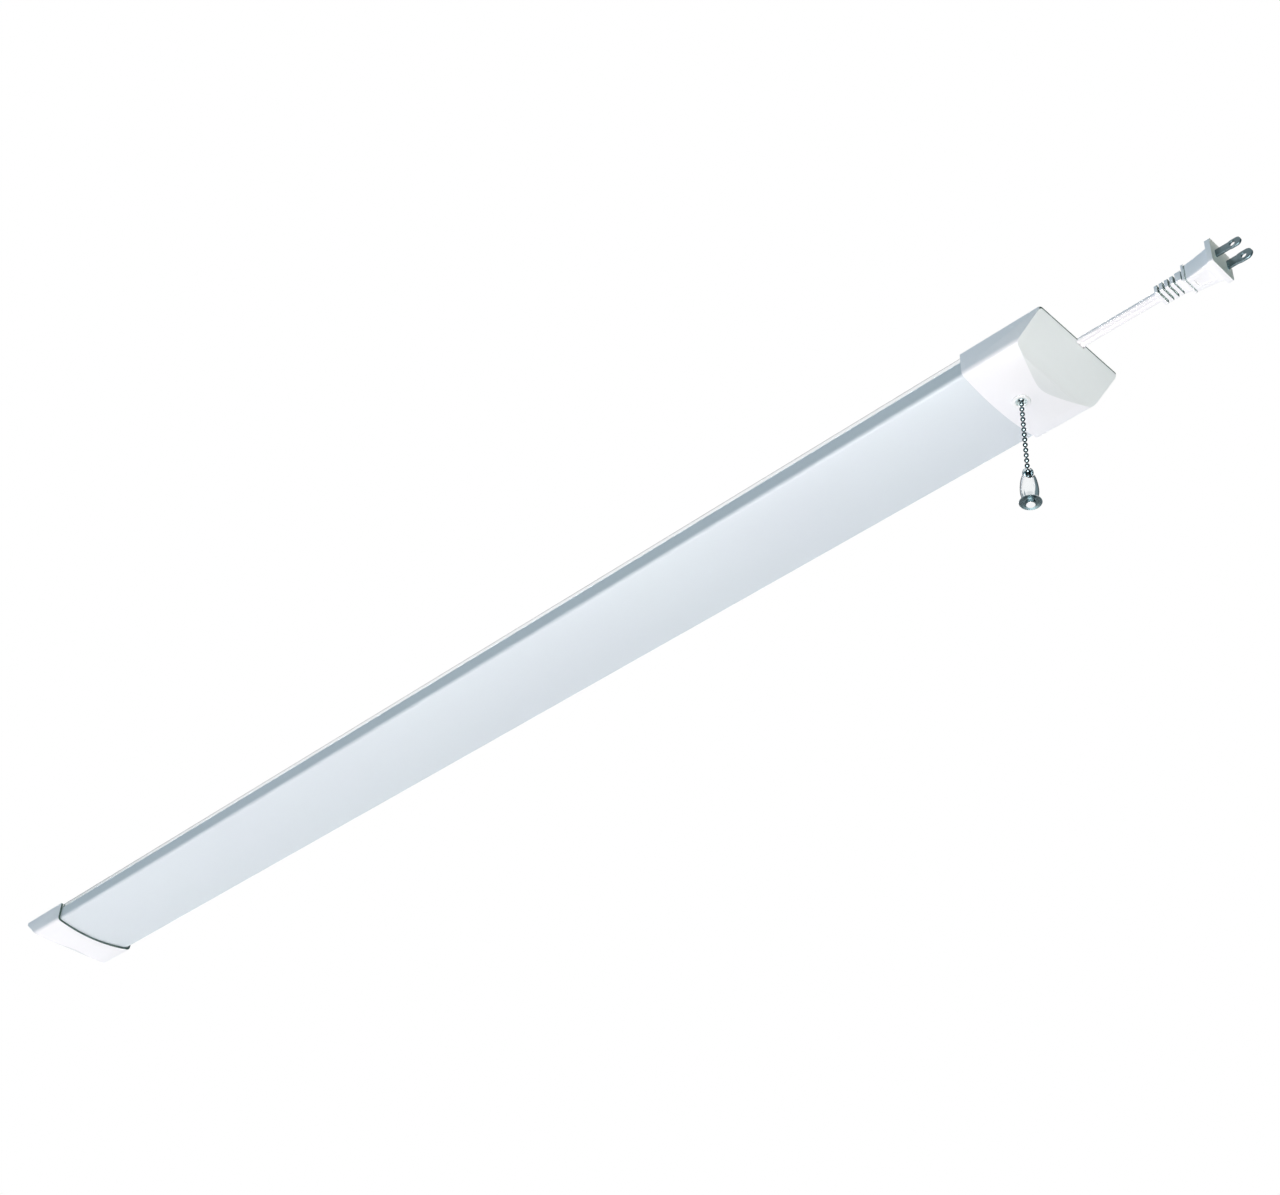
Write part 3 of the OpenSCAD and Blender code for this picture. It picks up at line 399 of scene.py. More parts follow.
# Colour, the tint it drifts to, least and most roughness, the drift's scale, the relief's scale and depth
looks = {
    # seen
    "panEnamel": {"colour": (0.96, 0.965, 0.975), "tint": (0.92, 0.93, 0.945), "rough": (0.16, 0.22),
        "dust": 0.10, "grain": 700, "depth": 0.004, "drift": 14, "plain": {"Metallic": 0.85}},
    # painted shade: a dark finish on the pan's upper folds, standing in for the shade along the flange's
    # top edge
    "panFoldPaintedShade": {"colour": (0.12, 0.15, 0.15), "tint": (0.10, 0.13, 0.13), "rough": (0.4, 0.5), "dust": 0.10,
        "grain": 700, "depth": 0.004, "drift": 14},
    "diffuserFrost": {"colour": (0.64, 0.685, 0.735), "tint": (0.615, 0.67, 0.70), "rough": (0.42, 0.52),
        "drift": 6, "grain": 900, "stretch": along},
    "capPlastic": {"colour": (0.905, 0.90, 0.93), "tint": (0.885, 0.88, 0.91), "rough": (0.40, 0.48),
        "dust": 0.06, "grain": 1400, "drift": 25, "plain": dull},
    # painted shade: the end face's own copy of the cap plastic, bluer, and darker where it faces down so
    # that its tone stays even under the lamps
    "capEndPlasticPaintedShade": {"colour": (0.93, 0.96, 0.975), "tint": (0.915, 0.945, 0.96), "rough": (0.42, 0.50),
        "paintedShade": {"From Min": -1, "From Max": -0.785, "To Min": 0.77}, "grain": 1400, "drift": 25,
        "plain": dull},
    # painted shade: a dark copy of the cap plastic on the upright rims and the land, standing in for the
    # shade there
    "capRimPaintedShade": {"colour": (0.10, 0.15, 0.135), "tint": (0.085, 0.13, 0.115), "rough": (0.45, 0.55),
        "drift": 40, "grain": 1400},
    "collarGloss": {"colour": (0.95, 0.95, 0.96), "tint": (0.90, 0.90, 0.92), "rough": (0.22, 0.30),
        "drift": 40, "depth": 0.004},
    "bushingNickel": {"colour": (0.62, 0.70, 0.71), "tint": (0.50, 0.58, 0.59), "rough": (0.34, 0.46),
        "drift": 300, "grain": 1800, "depth": 0.004, "stretch": upright, "plain": {"Metallic": 0.4}},
    "chainNickel": {"colour": (0.11, 0.14, 0.15), "tint": (0.085, 0.115, 0.125), "rough": (0.12, 0.18),
        "drift": 500, "grain": 2500, "depth": 0.003,
        "plain": {"Metallic": 1, "Specular Tint": (0.06, 0.06, 0.06, 1)}},
    "bellNickel": {"colour": (0.92, 0.94, 0.95), "tint": (0.86, 0.89, 0.90), "rough": (0.10, 0.15),
        "drift": 120, "grain": 1800, "depth": 0.002, "stretch": upright,
        "plain": {"Metallic": 1, "Specular Tint": (0.1, 0.1, 0.1, 1)}},
    "ballNickel": {"colour": (0.62, 0.69, 0.72), "tint": (0.55, 0.63, 0.66), "rough": (0.12, 0.18),
        "grain": 1800, "depth": 0.002, "plain": {"Metallic": 1, "Specular Tint": (0.05, 0.05, 0.05, 1)}},
    # painted shade: the dish under the bell's lip and the boss's sides, dark for the shade and dark
    # reflection there
    "bellRecessPaintedShade": {"colour": (0.07, 0.10, 0.11), "tint": (0.045, 0.065, 0.07), "rough": (0.30, 0.42),
        "drift": 300, "grain": 2000, "plain": metal},
    "bossSidePaintedShade": {"colour": (0.16, 0.19, 0.20), "tint": (0.13, 0.16, 0.17), "rough": (0.25, 0.35),
        "drift": 300, "grain": 2000, "depth": 0.004, "plain": metal},
    "bellBoss": {"colour": (0.93, 0.95, 0.96), "tint": (0.86, 0.88, 0.90), "rough": (0.2, 0.3),
        "drift": 300, "grain": 2000, "depth": 0.003},
    "cordVinyl": {"colour": (0.93, 0.915, 0.945), "tint": (0.90, 0.875, 0.92), "rough": (0.42, 0.52),
        "drift": 20, "grain": 500, "depth": 0.001, "stretch": along, "plain": dull},
    "plugVinyl": {"colour": (0.94, 0.935, 0.96), "tint": (0.90, 0.895, 0.925), "rough": (0.38, 0.48),
        "drift": 30, "grain": 500, "depth": 0.001, "plain": dull},
    # painted shade: a darker copy of the plug's vinyl for its forward face, and plugShade for the grooves
    # between the ribs
    "plugFrontPaintedShade": {"colour": (0.76, 0.745, 0.71), "tint": (0.72, 0.705, 0.67), "rough": (0.38, 0.48),
        "drift": 90, "grain": 500, "depth": 0.001},
    "plugShade": {"colour": (0.28, 0.34, 0.33), "tint": (0.23, 0.29, 0.28), "rough": (0.5, 0.6),
        "drift": 90, "grain": 1700, "depth": 0.004},
    "bladeNickel": {"colour": (0.14, 0.195, 0.215), "tint": (0.10, 0.145, 0.16), "rough": (0.24, 0.36),
        "drift": 160, "stretch": along, "plain": metal},
    "screwZinc": {"colour": (0.62, 0.63, 0.62), "tint": (0.50, 0.51, 0.52), "rough": (0.25, 0.42),
        "drift": 350, "grain": 2200, "plain": metal},
    # inside
    "trayMill": {"colour": (0.74, 0.75, 0.76), "tint": (0.66, 0.67, 0.69), "rough": (0.30, 0.44),
        "drift": 20, "grain": 1200, "depth": 0.01, "stretch": along, "plain": metal},
    "boardMask": {"colour": (0.86, 0.86, 0.84), "tint": (0.78, 0.79, 0.77), "rough": (0.28, 0.38),
        "grain": 600, "depth": 0.02},
    "phosphorGel": {"colour": (0.90, 0.74, 0.22), "tint": (0.80, 0.60, 0.14), "rough": (0.30, 0.42),
        "drift": 600, "grain": 3000, "depth": 0.01,
        "plain": {"Subsurface Weight": 0.2, "Subsurface Scale": 0.0005}},
    "connectorNylon": {"colour": (0.87, 0.86, 0.80), "tint": (0.80, 0.78, 0.70), "rough": (0.34, 0.44),
        "drift": 150},
    "redSleeve": {"colour": (0.55, 0.04, 0.035), "tint": (0.44, 0.03, 0.03), "rough": (0.36, 0.46)},
    "blackSleeve": {"colour": (0.035, 0.035, 0.04), "tint": (0.05, 0.05, 0.055), "rough": (0.36, 0.46)},
    "whiteSleeve": {"colour": (0.82, 0.82, 0.81), "tint": (0.76, 0.75, 0.73), "rough": (0.36, 0.46)},
    "fibreFilm": {"colour": (0.80, 0.75, 0.62), "tint": (0.72, 0.66, 0.52), "rough": (0.50, 0.62),
        "drift": 260, "grain": 1100, "depth": 0.02, "stretch": across},
    "greenBoard": {"colour": (0.03, 0.20, 0.07), "tint": (0.05, 0.28, 0.10), "rough": (0.26, 0.36),
        "drift": 420, "grain": 700, "depth": 0.03},
    "groundFerrite": {"colour": (0.10, 0.10, 0.11), "tint": (0.16, 0.16, 0.17), "rough": (0.45, 0.60),
        "drift": 800, "grain": 1800, "depth": 0.03},
    "blueShrink": {"colour": (0.05, 0.06, 0.22), "tint": (0.07, 0.09, 0.28), "rough": (0.20, 0.30),
        "grain": 900, "depth": 0.01},
    "copperWinding": {"colour": (0.55, 0.22, 0.08), "tint": (0.42, 0.15, 0.05), "rough": (0.22, 0.34),
        "drift": 500, "grain": 2400, "depth": 0.12, "stretch": (1, 0.05, 0.05), "plain": {"Metallic": 0.8}},
    "terminalNylon": {"colour": (0.06, 0.33, 0.11), "tint": (0.05, 0.26, 0.09), "rough": (0.34, 0.44),
        "grain": 1400, "depth": 0.008},
    "clampNylon": {"colour": (0.17, 0.175, 0.18), "tint": (0.12, 0.125, 0.13), "rough": (0.38, 0.50),
        "drift": 160, "grain": 1400, "depth": 0.008},
    "phenolic": {"colour": (0.13, 0.055, 0.022), "tint": (0.08, 0.03, 0.012), "rough": (0.30, 0.42),
        "drift": 350, "grain": 1100, "depth": 0.01},
    "fibreSheet": {"colour": (0.04, 0.04, 0.042), "tint": (0.065, 0.06, 0.058), "rough": (0.50, 0.62),
        "drift": 500, "grain": 900, "depth": 0.02, "stretch": across},
    "springBrass": {"colour": (0.68, 0.50, 0.20), "tint": (0.55, 0.38, 0.14), "rough": (0.22, 0.36),
        "drift": 250, "grain": 1600, "stretch": across, "plain": metal},
    "ratchetNylon": {"colour": (0.45, 0.05, 0.035), "tint": (0.36, 0.035, 0.03), "rough": (0.32, 0.44)},
}
finishes = {name: newFinish(name, look) for name, look in looks.items()}
print("finishes:", len(finishes))

# Flat cord, made first, along the part's own route: from the clamp, through the cap's notch, to the plug
cordSet = {
    "route": [(582, -3.3), (590, -3.3), (597, -3.2), (600.3, -2.95), (606.2, -0.1), (609.5, 0), (620, 0),
              (632, 0), (644, 0), (656, 0), (667.8, 0)],
    "aside": 2,
    "width": 7.8, "thick": 4.0,
    "sides": 48,
    "crossing": 3,      # how soon the outline goes over from one core to the other
    "groove": 0.75,     # depth of the furrow between the two cores
    "grooveWide": 1.5,  # half its width
    "grooveEdge": 2,    # how soon it ends there
}


def cordOutline(k):  # a point on the outline of the two cores, with the furrow pressed in above and below
    angle = 2 * math.pi * k / cordSet["sides"]
    core = cordSet["thick"] / 2
    flat = max(-1, min(1, cordSet["crossing"] * math.cos(angle)))
    y = (cordSet["width"] / 2 - core) * flat + core * math.cos(angle)
    z = core * math.sin(angle)
    dip = cordSet["groove"] * math.exp(-(y / cordSet["grooveWide"]) ** 2 * cordSet["grooveEdge"])
    return Vector((0, y, z - math.copysign(min(dip, abs(z)), z))) * mm


def makeCord():
    route = [Vector((x, cordSet["aside"], z)) * mm for x, z in cordSet["route"]]
    piece = added(bpy.ops.mesh.primitive_circle_add, "flatCord", vertices=cordSet["sides"], radius=1,
                  fill_type="NGON", enter_editmode=True)
    shaped(piece, lambda k, old: route[0] + cordOutline(k))
    bpy.ops.mesh.select_all(action="SELECT")
    for a, b in zip(route, route[1:]):
        extruded(b - a)
    bpy.ops.object.mode_set(mode="OBJECT")
    placed(piece)
    smoothed(piece, angle=40)
    return piece, route


cord, cordRoute = makeCord()
dressed(cord, "power_cord", "fixture", "cord_white", "cordVinyl")
print("cord made")

plugSet = {
    # a section: distance along the cord, width, height, and the height of its middle
    "start": [(667.8, 11.6, 6, 0), (668.1, 12.8, 7, 0)],
    "rib": (12.8, 7, 0), "neck": (8.6, 4.8, 0),  # the same of a rib and of the neck between two ribs
    # end of the first rib, spacing and number of the necks, width of a neck's gap and of its slopes
    "ribEnd": 670.2, "pitch": 3.75, "necks": 4, "gap": 1.45, "slope": 0.12,
    "grip": [(682.9, 12.8, 8.4, 0), (686.8, 12.8, 8.4, 0), (686.92, 8.6, 4.8, 0), (688, 8.6, 4.8, 0),
             (688.1, 14.6, 15, -0.1), (689.5, 14.6, 15, -0.1), (689.6, 13, 13.2, -0.2),
             (690.4, 13, 13.2, -0.2), (690.5, 13.8, 13.6, -0.85), (697.8, 15.8, 13.8, -0.75),
             (703.8, 17.7, 14, -0.65), (708.2, 19.3, 14.2, -0.6), (708.25, 23.6, 20.6, 0.3),
             (711.8, 23.6, 20.6, 0.3)],
    "aside": 2,
    "corner": 0.10,  # share of a section's side that its corners round off
    "edge": 0.36,    # rounding of the moulded edges
    # recess under the grip: its start and end, the widths there, the grip's underside, the depth in it
    "recess": (693.4, 703.8), "recessWidths": (6.5, 10.5), "underside": -7.65, "recessDeep": 0.6,
    "overrun": 2, "recessEdge": 0.35,  # how far its tool starts outside the grip, and the tool's rounding
    # the shaded grooves: start, end, half width and half height
    "grooves": [(669, 688.15, 5.9, 3.1), (689.55, 690.45, 6.6, 6.9)],
    "front": 711.5,  # what faces forward beyond this is the plug's face, which takes painted shade
}


def plugSections():  # four necks between ribs, then the grip and its square face
    sections = list(plugSet["start"])
    gap, slope = plugSet["gap"], plugSet["slope"]
    for i in range(plugSet["necks"]):
        x = plugSet["ribEnd"] + i * plugSet["pitch"]
        sections += [(x, *plugSet["rib"]), (x + slope, *plugSet["neck"]),
                     (x + gap - slope, *plugSet["neck"]), (x + gap, *plugSet["rib"])]
    return sections[:-1] + plugSet["grip"]  # the last rib is the grip's own, a higher one


def recessTool():  # a wedge, wider towards the plug's face
    tool = added(bpy.ops.mesh.primitive_cube_add, "recessTool", size=1, enter_editmode=True)

    def corner(k, old):
        end = 1 if old.x > 0 else 0
        away = plugSet["recessDeep"] if old.z > 0 else -plugSet["overrun"]
        y = plugSet["aside"] + math.copysign(plugSet["recessWidths"][end], old.y) / 2
        return Vector((plugSet["recess"][end], y, plugSet["underside"] + away)) * mm

    shaped(tool, corner)
    bpy.ops.object.mode_set(mode="OBJECT")
    placed(tool)
    softened(tool, plugSet["recessEdge"] * mm, segments=3, angle=40)
    return tool


def makePlug():
    sections = plugSections()
    aside = plugSet["aside"]
    x0, w0, h0, z0 = sections[0]
    piece = added(bpy.ops.mesh.primitive_plane_add, "plugBody", size=1, enter_editmode=True)
    bpy.ops.mesh.select_all(action="SELECT")
    bpy.ops.mesh.bevel(offset=plugSet["corner"], segments=6, affect="VERTICES")
    shaped(piece, lambda k, old: Vector((x0, aside + old.x * w0, z0 + old.y * h0)) * mm)
    bpy.ops.mesh.select_all(action="SELECT")
    for (xa, wa, ha, za), (xb, wb, hb, zb) in zip(sections, sections[1:]):
        extruded(Vector((xb - xa, 0, zb - za)) * mm)
        resized((1, wb / wa, hb / ha), Vector((xb, aside, zb)) * mm)
    bpy.ops.object.mode_set(mode="OBJECT")
    placed(piece)
    softened(piece, plugSet["edge"] * mm, segments=3, angle=40)
    cutBy(piece, recessTool())
    smoothed(piece, angle=38)
    return piece


def inGroove(x, y, z):
    return any(start < x < end and abs(y - plugSet["aside"]) < wide and abs(z) < high
               for start, end, wide, high in plugSet["grooves"])


plugBody = makePlug()
dressed(plugBody, "plug_body", "fixture", "plug_white", "plugVinyl", "plugShade", "plugFrontPaintedShade")
# painted shade: the grooves take plugShade, and the plug's forward face a darker copy of its vinyl
for f in plugBody.data.polygons:
    if inGroove(*(c / mm for c in f.center)):
        f.material_index = 1
    elif f.center.x > plugSet["front"] * mm and f.normal.x > squarely:
        f.material_index = 2

bladeSet = {
    "root": 703.8, "tip": 729.1, "gap": 12.7, "thick": 1.5, "aside": 2,
    "widths": (6.35, 7.94),  # on -Y and on +Y
    "rounding": 0.499,       # of the tip, as a share of the width
    "waist": 0.86,           # share of the width behind the rounded tip
    "neck": (1.05, 1.3),     # where that waist ends and begins, in widths from the tip
    "hole": 3.6, "holeInset": 5.8, "drill": 6, "edge": 0.2,
}


def makeBlade(side, width):
    length = bladeSet["tip"] - bladeSet["root"]
    y = bladeSet["aside"] + side * bladeSet["gap"] / 2
    blade = added(bpy.ops.mesh.primitive_cube_add, "blade", size=1, enter_editmode=True)
    resized(Vector((length, bladeSet["thick"], width)) * mm, (0, 0, 0))
    bpy.ops.transform.translate(value=Vector((bladeSet["root"] + length / 2, y, 0)) * mm)
    tip = bladeSet["tip"] * mm - tiny
    pickEdges(blade, lambda a, b, turn: a.x > tip and b.x > tip and abs(a.z - b.z) < tiny)
    bpy.ops.mesh.bevel(offset=bladeSet["rounding"] * width * mm, segments=10, affect="EDGES")
    for share in bladeSet["neck"]:
        bpy.ops.mesh.select_all(action="SELECT")
        bpy.ops.mesh.bisect(plane_co=((bladeSet["tip"] - share * width) * mm, 0, 0), plane_no=(1, 0, 0))
    bpy.ops.mesh.select_mode(type="VERT")
    mesh = bmesh.from_edit_mesh(blade.data)
    behind = (bladeSet["tip"] - bladeSet["neck"][1] * width) * mm + tiny
    for v in mesh.verts:
        v.select_set(v.co.x < behind)
    mesh.select_flush_mode()
    bmesh.update_edit_mesh(blade.data)
    resized((1, 1, bladeSet["waist"]), (0, y * mm, 0))
    bpy.ops.object.mode_set(mode="OBJECT")
    placed(blade)
    hole = Vector((bladeSet["tip"] - bladeSet["holeInset"], y, 0)) * mm
    tool = added(bpy.ops.mesh.primitive_cylinder_add, "holeTool", vertices=32, location=hole,
                 radius=bladeSet["hole"] / 2 * mm, depth=bladeSet["drill"] * mm,
                 rotation=(math.pi / 2, 0, 0))
    cutBy(blade, placed(tool))
    softened(blade, bladeSet["edge"] * mm, segments=2, angle=50)
    smoothed(blade, angle=35)
    return blade


bothBlades = [makeBlade(side, width) for side, width in zip((-1, 1), bladeSet["widths"])]
plugBlades = joined(bothBlades, "plugBlades")
dressed(plugBlades, "plug_blades", "fixture", "blade_metal", "bladeNickel")
print("plug made")

# End caps, diffuser and pan: the CAD's own shapes, with softer edges and a finish for each kind of face,
# painted shade among them on the rims, the end faces and the pan's folds
shellSet = {
    # the light's end, height of its upright rim, lean of the end face
    "end": 609.5, "land": 1.3, "rake": 51.4,
    # open end of a cap, its half width, and its underside's radius and depth
    "mouth": 546.2, "side": 40, "crown": 157.6, "depth": 22.6,
    "edge": 0.45, "mouthEdge": 1.3,  # rounding of the end face's outline and of the mouth's rim
    # picking the outline: nearness to the end face, place below the back, least turn, notch, longest edge
    "near": 0.3, "below": 0.02, "turn": 0.35, "notch": 8, "longest": 20,
    # picking the mouth's rim: how near the mouth, how near the outside, least turn
    "mouthNear": 0.05, "wall": 0.7, "mouthTurn": 1,
    # faces of the rims, which stand upright, and of the land over the end face; these take painted shade
    "upright": 0.985, "rimNear": 0.1, "landLean": 0.6, "landNear": 0.15, "landLong": 1,
    # faces of the end face, which take the end plastic with painted shade: how far in from the end, least
    # outward lean, least lean down
    "faceLong": 45, "noseOut": 0.1, "faceDown": 0.3,
    # the pan's folds, which take painted shade: how far out, and how they lean
    "fold": 35, "foldAside": (0.3, 0.99), "foldUp": 0.1,
}


def onOutline(a, b, turn, side):  # edges round the end face, but for the cord's notch and the long ones
    slope = math.tan(math.radians(shellSet["rake"]))
    for p in (a, b):
        face = shellSet["end"] * mm + slope * (p.z + shellSet["land"] * mm)
        if side * p.x <= face - shellSet["near"] * mm or p.z >= -shellSet["below"] * mm:
            return False
    short = abs(a.y - b.y) < shellSet["longest"] * mm
    return turn > shellSet["turn"] and abs(a.y) > shellSet["notch"] * mm and short


def onMouth(a, b, turn, side):  # edges round the outside of the open end
    crown = shellSet["crown"] * mm
    for p in (a, b):
        bottom = crown - (shellSet["depth"] - shellSet["wall"]) * mm - math.sqrt(crown ** 2 - p.y ** 2)
        if abs(p.y) <= shellSet["side"] * mm and p.z >= bottom:
            return False
        if abs(side * p.x - shellSet["mouth"] * mm) >= shellSet["mouthNear"] * mm:
            return False
    return turn > shellSet["mouthTurn"]


# Each face's finish: 2 for the rims' painted shade, 1 for the end face's plastic with painted shade, 0 for
# the plain cap plastic
def capFinish(out, away, normal, z):  # out and away: place and lean towards the light's end, z: height
    atEnd = out > shellSet["end"] - shellSet["rimNear"] or out < shellSet["mouth"] + shellSet["rimNear"]
    onLand = z > -shellSet["land"] - shellSet["landNear"] and out > shellSet["end"] - shellSet["landLong"]
    if (abs(away) > shellSet["upright"] and atEnd) or (away > shellSet["landLean"] and onLand):
        return 2
    inFace = out > shellSet["end"] - shellSet["faceLong"] and away > shellSet["noseOut"]
    return 1 if inFace and normal.z < -shellSet["faceDown"] else 0


def makeCap(node, name, side):
    piece = fromCad(node, name)
    useOnly(piece)
    bpy.ops.object.mode_set(mode="EDIT")
    for test, edge, steps in ((onOutline, shellSet["edge"], 3), (onMouth, shellSet["mouthEdge"], 4)):
        pickEdges(piece, lambda a, b, turn: test(a, b, turn, side))
        bpy.ops.mesh.bevel(offset=edge * mm, segments=steps, affect="EDGES", clamp_overlap=True)
    bpy.ops.object.mode_set(mode="OBJECT")
    smoothed(piece, angle=32)
    dressed(piece, node, "fixture", "cap_white", "capPlastic", "capEndPlasticPaintedShade", "capRimPaintedShade")
    for f in piece.data.polygons:
        f.material_index = capFinish(side * f.center.x / mm, side * f.normal.x, f.normal, f.center.z / mm)


makeCap("switch_end_cap", "nearCap", 1)
makeCap("plain_end_cap", "farCap", -1)

lens = fromCad("diffuser_lens", "lensShell")
smoothed(lens, angle=30)
dressed(lens, "diffuser_lens", "fixture", "diffuser_white", "diffuserFrost")
pan = fromCad("housing_pan", "panShell")
smoothed(pan, angle=30)
dressed(pan, "housing_pan", "fixture", "sheet_white", "panEnamel", "panFoldPaintedShade")
# the pan's folds take the painted shade
least, most = shellSet["foldAside"]
for f in pan.data.polygons:
    outside = abs(f.center.y) > shellSet["fold"] * mm
    if outside and least < abs(f.normal.y) < most and f.normal.z > shellSet["foldUp"]:
        f.material_index = 1
print("shells made")

chainSet = {
    "x": 562.2, "first": -25.13, "pitch": 4.42,  # place of the first bead below the switch
    "head": -7.09,  # height of the bead that pulls the switch's arm down
    "bead": 3.2, "mouth": 1.72,
    "lip": 1.0, "lipWide": 0.86,  # depth of the turned-in mouths, and the share of their width left there
    "stem": 0.8, "stemIn": 0.2,  # the wire, and how short of a bead's middle it ends, as a share of a bead
    "stemEdge": 0.1, "stemTip": 1.12,  # narrowing of the wire's ends, and how far they are drawn out
    "rodEdge": 0.12,  # rounding of the wire at the chain's head
    # first and last bead that each body carries
    "headBeads": (-2, -1), "endBeads": (13, 14),
    "linkBeads": [(0, 0), (1, 1), (2, 2), (3, 3), (4, 5), (6, 7), (8, 9), (10, 12)],
}


def beadHeight(i):
    return (chainSet["first"] - i * chainSet["pitch"]) * mm


def makeStem():  # the wire from the bead at the origin down to the next
    length = (chainSet["pitch"] - 2 * chainSet["stemIn"] * chainSet["bead"]) * mm
    stem = added(bpy.ops.mesh.primitive_cylinder_add, "stem", vertices=14, radius=chainSet["stem"] / 2 * mm,
                 depth=length, location=(0, 0, -chainSet["pitch"] / 2 * mm), enter_editmode=True)
    pickFaces(stem, lambda middle, normal: abs(normal.z) > squarely)
    bpy.ops.mesh.inset(thickness=chainSet["stemEdge"] * mm)
    resized((1, 1, chainSet["stemTip"]), (0, 0, 0))
    bpy.ops.object.mode_set(mode="OBJECT")
    return placed(stem)


def makeBead(withWire):  # a hollow bead at the origin, with its two mouths turned in
    radius = chainSet["bead"] / 2 * mm
    rim = math.sqrt(radius ** 2 - (chainSet["mouth"] / 2 * mm) ** 2)
    bead = added(bpy.ops.mesh.primitive_uv_sphere_add, "bead", segments=28, ring_count=18, radius=radius,
                 enter_editmode=True)
    pickFaces(bead, lambda middle, normal: abs(middle.z) > rim)
    bpy.ops.mesh.extrude_region_shrink_fatten(TRANSFORM_OT_shrink_fatten={"value": -chainSet["lip"] * mm})
    resized((chainSet["lipWide"], chainSet["lipWide"], 1), (0, 0, 0))
    bpy.ops.object.mode_set(mode="OBJECT")
    piece = joined([bead, makeStem()] if withWire else [bead], "beadPattern")
    smoothed(piece, angle=40)
    return piece


def makeHead(bead):  # the bead at the switch's arm, and the wire down to the first bead of the chain
    x, top, bottom = chainSet["x"] * mm, chainSet["head"] * mm, beadHeight(chainSet["headBeads"][0])
    head = copied(bead, "headBead", (x, 0, top))
    rod = added(bpy.ops.mesh.primitive_cylinder_add, "headWire", vertices=14, depth=top - bottom,
                radius=chainSet["stem"] / 2 * mm, location=(x, 0, (top + bottom) / 2))
    softened(placed(rod), chainSet["rodEdge"] * mm)
    return [head, rod]


withStem = makeBead(True)
alone = makeBead(False)
runs = [("chain_head", "pull_head", chainSet["headBeads"])]
runs += [("chain_link_%d" % n, "link_%d" % n, beads) for n, beads in enumerate(chainSet["linkBeads"], 1)]
runs += [("bell_end_beads", "end_beads", chainSet["endBeads"])]
for node, body, (first, last) in runs:
    copies = []
    for i in range(first, last + 1):
        pattern = alone if i == chainSet["endBeads"][1] else withStem  # the last bead has no wire below it
        copies.append(copied(pattern, "bead_%d" % i, (chainSet["x"] * mm, 0, beadHeight(i))))
    if node == "chain_head":
        copies += makeHead(alone)
    dressed(joined(copies, "chain_" + body), node, body, "chain_nickel", "chainNickel")
for pattern in (withStem, alone):
    bpy.data.objects.remove(pattern)
print("chain made")

bellSet = {
    "x": 562.2,
    # height and diameter down the outside, across the dish under the lip, and down the boss in its middle
    "outside": [(-86.49, 6.9), (-86.9, 7.7), (-88.4, 8.9), (-90.1, 9.8), (-92.2, 10.6), (-94.3, 11.15),
                (-96.4, 11.6), (-98.4, 11.8), (-100.4, 11.7), (-102.4, 11.2), (-104.4, 10.4),
                (-105.9, 9.6), (-106.8, 9.25), (-107.3, 9.7), (-107.7, 11.2), (-108.0, 13.0),
                (-108.2, 14.2), (-108.5, 14.5), (-108.75, 14.2)],
    "dish": [(-108.6, 13.0), (-108.1, 11.0), (-107.95, 8.6), (-108.1, 6.2)],
    "boss": [(-108.25, 6.0), (-110.3, 6.0), (-110.6, 5.7), (-110.74, 5.2), (-110.79, 4.6)],
    "faces": 64, "socket": 4.0, "socketDepth": 2.5,
    "ball": -84.29, "seatWide": 7.2,  # height of the connector's middle, and width of its seat
    # the mouth that a bead goes in by: its width and reach, and the way it points, in degrees
    "mouthWide": 7.4, "mouthReach": 15, "mouthTurn": -45, "mouthDip": 38,
    # height and width within which faces take the boss's side finish, and the recess's; both are painted
    # shade
    "bossFoot": (-107.8, 6.4), "recess": (-107.6, 14.3), "recessDown": 0.2,
}


def bellPoint(z):
    return Vector((bellSet["x"], 0, z)) * mm


def mouthTool(width, reach):  # round cutter that leaves the connector's middle sideways and down
    turn, dip = (math.radians(bellSet[key]) for key in ("mouthTurn", "mouthDip"))
    way = Vector((math.cos(turn) * math.cos(dip), math.sin(turn) * math.cos(dip), -math.sin(dip)))
    middle = bellPoint(bellSet["ball"]) + way * reach / 2 * mm
    return placed(added(
        bpy.ops.mesh.primitive_cylinder_add, "mouthTool", vertices=48, radius=width / 2 * mm,
        depth=reach * mm, location=middle, rotation=way.to_track_quat("Z", "Y").to_euler()))


def turnedBell():  # drawn down its axis section by section, in under the lip, and out again for the boss
    sections = bellSet["outside"] + bellSet["dish"] + bellSet["boss"]
    z0, d0 = sections[0]
    piece = added(bpy.ops.mesh.primitive_circle_add, "bellBody", vertices=bellSet["faces"],
                  radius=d0 / 2 * mm, fill_type="NGON", location=bellPoint(z0), enter_editmode=True)
    bpy.ops.mesh.select_all(action="SELECT")
    for (za, da), (zb, db) in zip(sections, sections[1:]):
        extruded((0, 0, (zb - za) * mm))
        resized((db / da, db / da, 1), bellPoint(zb))
    bpy.ops.object.mode_set(mode="OBJECT")
    return placed(piece)


